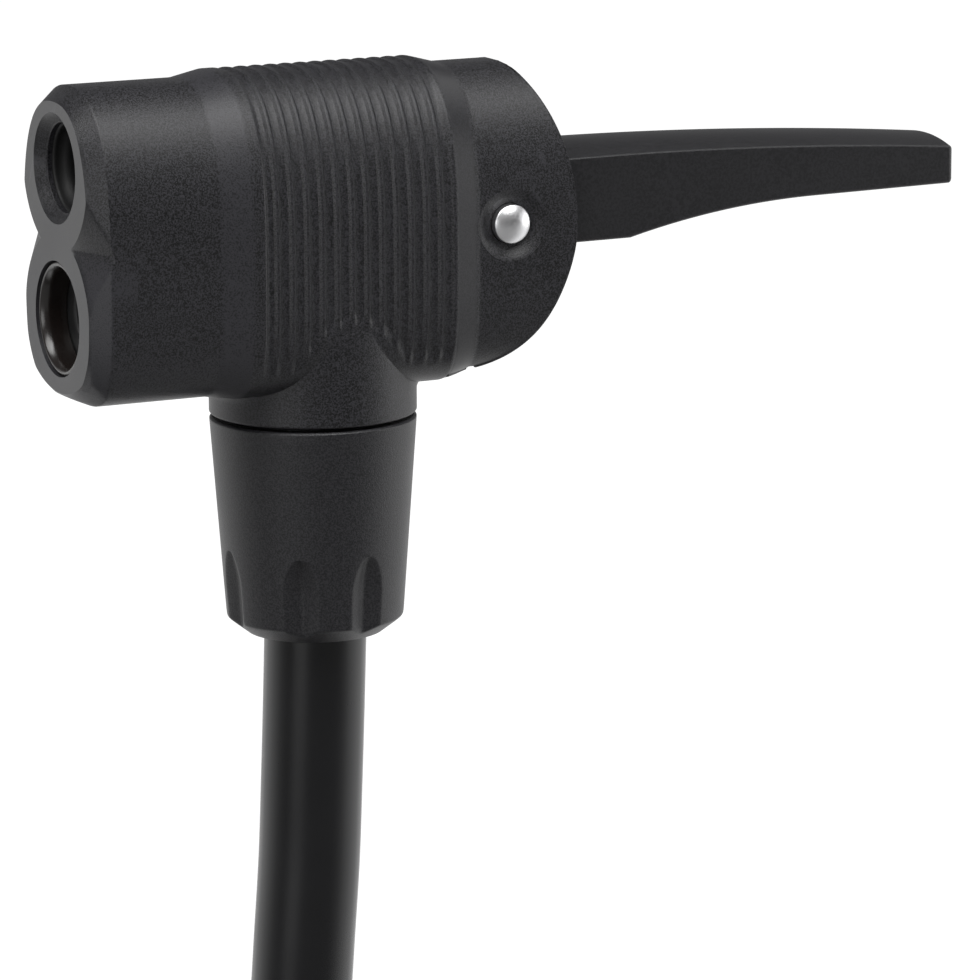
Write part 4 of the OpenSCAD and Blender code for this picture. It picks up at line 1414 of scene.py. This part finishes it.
@dataclass
class Lever:
    """The cam lever: a crowned arm, hollowed below for the fingers, that turns on the pin."""

    length: float = 56.7
    half_root: float = 7.0
    half_tip: float = 6.0
    top: float = 7.2
    top_x: float = 8.0
    top_r: float = 490.0
    low: float = 3.2
    cam_r: float = 7.3
    travel: float = 2.0
    hollow_start: float = 16.0
    hollow_run: float = 23.0
    hollow_r: float = 100.0
    crown_r: float = 20.0
    bore_r: float = 2.14

    def tip(self, x: Array, radius: float) -> Array:
        """How far the tip's rounded corner, a quarter circle, cuts in."""
        return radius - arc(radius, np.maximum(x - (self.length - radius), 0))

    def upper(self, x: Array) -> Array:
        """Height of the crown's ridge: a long shallow arc, round over the cam and at the tip.

        Args:
            x: distances from the pin.

        Returns:
            The height at each.
        """
        arm = self.top - (x - self.top_x) ** 2 / (2 * self.top_r)
        cam = arc(self.cam_r, np.minimum(x, 0)) - 0.1
        return soft_min(arm, cam + 0.16 * np.maximum(x, 0), 0.3) - self.tip(x, 0.5)

    def lower(self, x: Array) -> Array:
        """Height of the underside: the cam's round, a flat root, then a hollow that rises to the tip.

        Args:
            x: distances from the pin.

        Returns:
            The height at each.
        """
        r, run, start = self.hollow_r, self.hollow_run, self.hollow_start
        full = r - arc(r, run)
        hollow = full - (r - arc(r, np.clip(run + start - x, 0, run)))
        rise = (-0.2 + self.low - full) * np.clip((x - start) / (self.length - start), 0, 1)
        root = -self.low + np.where(x > start, hollow + rise, 0)
        return np.where(x < 3.4, self.cam_foot(x), root) + self.tip(x, 0.5)

    def cam_foot(self, x: Array) -> Array:
        """Height of the cam's underside. At t degrees below level it stands cam_r - travel t / 90 out
        from the pin, so that the plate follows it; past 96 degrees it runs into the root.

        Args:
            x: distances from the pin.

        Returns:
            The height at each.
        """
        t = np.radians(np.linspace(0, 96, 49))
        slope = -self.travel / (np.pi / 2)
        reach = self.cam_r + slope * t
        along = np.append(-reach * np.cos(t) + slope * np.sin(t), [0.4, 1.5, 2.6, 3.4])
        height = np.append(-reach * np.sin(t) - slope * np.cos(t), [-4.6, -3.8, -3.35, -3.25])
        return np.interp(x, along, height) + 0.05

    def half_width(self, x: Array) -> Array:
        """Half width: level over the root, then a straight taper, with soft corners at the tip."""
        taper = self.half_root + (self.half_tip - self.half_root) * np.clip((x - 10) / (self.length - 10), 0, 1)
        return taper - self.tip(x, 0.6)

    def crown(self, y: Array) -> Array:
        """How far the top falls off across the arm, as an arc."""
        return self.crown_r - arc(self.crown_r, y)

    def rings(self) -> Array:
        """Sections along the arm: a crowned top, upright sides and a flat underside with soft edges.

        Returns:
            Rings of points.
        """
        x = np.concatenate([
            -7.25 * np.cos(np.linspace(0, np.pi / 2, 40))[:-1],
            runs(0.0, (20.0, 40), (self.length - 0.6, 60)),
            self.length - 0.6 * (1 - np.sin(np.linspace(0, np.pi / 2, 9)[1:])),
        ])
        up = self.upper(x)[:, None]
        w, down = self.half_width(x)[:, None], np.minimum(self.lower(x)[:, None], up - 0.1)
        u, soft = np.linspace(-1, 1, 41)[None, :], np.linspace(0, np.pi / 2, 6)[None, :]
        edge = np.minimum(0.28, 0.3 * (up - down))
        foot = 1.25 * edge
        shoulder = up - self.crown(w - edge) - 0.02
        top = beside(-(w - edge) * u, up - self.crown((w - edge) * u))
        left_top = beside(-w + edge - edge * np.sin(soft), shoulder - edge + edge * np.cos(soft))
        left_low = beside(-w + foot - foot * np.cos(soft), down + foot - foot * np.sin(soft))
        base = beside((w - foot) * u[:, 1:-1], down)
        right_low, right_top = left_low[:, ::-1] * [-1, 1], left_top[:, ::-1] * [-1, 1]
        ring = np.concatenate([top, left_top[:, 1:], left_low, base, right_low, right_top[:, :-1]], axis=1)
        return stood(x, ring) + [PIN_X, 0, MID_Z]

    def build(self) -> None:
        """Shapes the lever and bores it for the pin."""
        thing = Shell.tube(self.rings()).mesh("lever_moulding")
        mesh_out(thing)
        combine(thing, [Shell.rod(self.bore_r, -9.0, 9.0, (PIN_X, 0, MID_Z), Axis.Y)], "DIFFERENCE")
        shade(thing, 30)
        dress(thing, "lever", LEVER_NYLON, "black_nylon", "cam_lever")


@dataclass
class Pin:
    """The steel pin with a domed end in each cheek's dish."""

    radius: float = 2.1
    half: float = 11.1
    dome: float = 0.7

    def build(self) -> None:
        """Turns the pin: each end is a cap of a ball."""
        ball = (self.radius**2 + self.dome**2) / (2 * self.dome)
        tilt = np.linspace(0.01, 1, 20) * math.asin((self.radius - 0.06) / ball)
        cap = np.column_stack([ball * np.sin(tilt), -self.half + ball - ball * np.cos(tilt)])
        half = np.vstack([cap, [self.radius, -self.half + self.dome + 0.1]])
        shell = Shell.lathe(np.vstack([half, (half * [1, -1])[::-1]]), (PIN_X, 0, MID_Z), Axis.Y, 96)
        piece(shell, "lever_pin", 60, "head", STEEL, "bright_steel", "pivot_pin")


@dataclass
class Nut:
    """The tapered nut, with two groups of three finger flutes round its lower end."""

    top: float = 28.4
    end: float = 51.8
    top_r: float = 11.1
    end_r: float = 9.5
    bevel: Span = (1.6, 2.1)
    flutes: tuple[float, ...] = (-178.5, -123.1, -79.0, 1.5, 56.9, 101.0)
    flute_len: float = 9.5
    flute_run: float = 4.2
    flute_round: float = 0.05
    flute_half: float = 1.7
    bite: float = 0.95

    def skin(self, h: Array, turn: Array) -> Array:
        """Radius of the outside: a taper with a bevelled end, less the flutes. At v of its half width a
        flute is bite (1 - sqrt(v^2 + low) + sqrt(low) / 2) deep, which gives a round bottom and straight
        flanks. Its width and depth grow from its tip as the square root of a sine.

        Args:
            h: distances below the upper port.
            turn: bearings round the nut.

        Returns:
            A row of radii for each height.
        """
        rise, cut = self.bevel
        taper = self.top_r + (self.end_r - self.top_r) * (h - self.top) / (self.end - rise - self.top)
        end = self.end_r - (h - self.end + rise) * cut / rise
        plain = soft_min(taper, self.top_r - 0.28 + 1.6 * (h - self.top), 0.1)[:, None]
        away = np.abs((turn[:, None] - np.radians(self.flutes) + np.pi) % FULL_TURN - np.pi).min(axis=1)
        past = np.clip((h - self.end + self.flute_len) / self.flute_run, 0, 1)
        grow = np.sqrt(np.sin(past * np.pi / 2))[:, None]
        v = np.abs(self.end_r * np.sin(np.minimum(away, 1.2)))[None, :] / np.maximum(self.flute_half * grow, 1e-3)
        low = self.flute_round
        depth = self.bite * grow * (1 - np.sqrt(v * v + low) + math.sqrt(low) * 0.5)
        fluted = plain - soft_max(depth, np.zeros_like(depth), 0.05) * (depth > -0.4) * (past > 0)[:, None]
        return soft_min(fluted, end[:, None], 0.16)

    def build(self) -> None:
        """Joins the fluted outside to the threaded and tapered bore."""
        around = 480
        h = runs(self.top, (self.top + 0.5, 8), (42.0, 12), (43.5, 40), (46.6, 26), (49.0, 8), (self.end, 34))
        bore = rounded([
            (6.2, self.end, 0.15), (5.8, 51.4, 0.1), (5.8, 47.6, 0.2), (6.8, 46.7, 0.1), (8.5, 41.8, 0.2),
            (8.5, 29.0, 0.1), (9.1, self.top, 0.1),
        ], 4)[1:]
        rows = bored(self.skin(h, np.pi / 2 - circle(around)), h, bore)
        shell = Shell.lathe(rows, (HOSE_X, 0, 0), Axis.DOWN, around, True)
        piece(shell, "hose_nut_moulding", 32, "nut", NUT_NYLON, "black_nylon", "hose_nut")


@dataclass
class Spring:
    """A wire spring between a poppet and the plug behind it."""

    port: str
    travel: float = 2.0
    wire: float = 0.33
    turns: float = 6.0

    def build(self) -> None:
        """Winds the wire. Its middle line is x(t), R cos t, R sin t, where x rises by one wire's
        thickness over each end turn and evenly between them; the section is a circle."""
        low, high = (np.array(corner, float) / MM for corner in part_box(f"{self.port}_spring"))
        middle, outer = (low + high) / 2, (high[1] - low[1]) / 2
        turn = np.linspace(0, self.turns, int(self.turns * 40) + 1)
        dead = 2.05 * self.wire
        room = high[0] - low[0] - 2 * self.wire
        x = np.interp(turn, [0, 1, self.turns - 1, self.turns], [0, dead, room - dead, room]) + low[0] + self.wire
        angle, section = (FULL_TURN * turn)[:, None], circle(16)[None, :]
        reach = outer - self.wire + self.wire * np.cos(section)
        rings = beside(
            x[:, None] + self.wire * np.sin(section),
            middle[1] + reach * np.cos(angle),
            middle[2] + reach * np.sin(angle),
        )
        look = ("clamp", STEEL, "bright_steel", f"{self.port}_spring")
        thing = piece(Shell.tube(rings), f"{self.port}_spring_wire", 50, *look)
        keep = 1 - self.travel / (high[0] - low[0])
        anchor = tuple(float(v) * MM for v in (high[0], middle[1], middle[2]))
        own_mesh(thing)


@dataclass
class Works:
    """The pieces inside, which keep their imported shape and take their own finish."""

    finishes: dict[str, Finish] = field(
        default_factory=lambda: {
            "thrust_washers": ACETAL, "clamp_plunger": ACETAL, "spring_plugs": ACETAL, "hose_collet": ACETAL,
            "plunger_seal": RUBBER, "schrader_poppet_seal": RUBBER, "presta_poppet_seal": RUBBER,
            "barb_seal": RUBBER, "hose_end": HOSE_RUBBER, "cam_plate": STEEL, "schrader_poppet": BRASS,
            "presta_poppet": BRASS, "hose_barb": BRASS,
        }
    )

    def build(self) -> None:
        """Puts each node's material in its slots."""
        for name, finish in self.finishes.items():
            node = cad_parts[name]
            node.data.materials.clear()
            node.data.materials.append(FINISHES[finish])
            log.info("%s dressed", name)


def corners(box: object) -> list[float]:
    """A box as plain numbers."""
    return [round(float(v), 6) for v in np.array(box, float).ravel()]


def main() -> None:
    """Builds the studio, the hose, the head and its works."""
    logging.basicConfig(level=logging.INFO, format="%(message)s")
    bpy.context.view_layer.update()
    springs = [Spring(port) for port in ("schrader", "presta")]
    for part in (Studio(), Hose(), Head(), Ports(), Lever(), Pin(), Nut(), *springs, Works()):
        part.build()


if __name__ == "__main__":
    main()
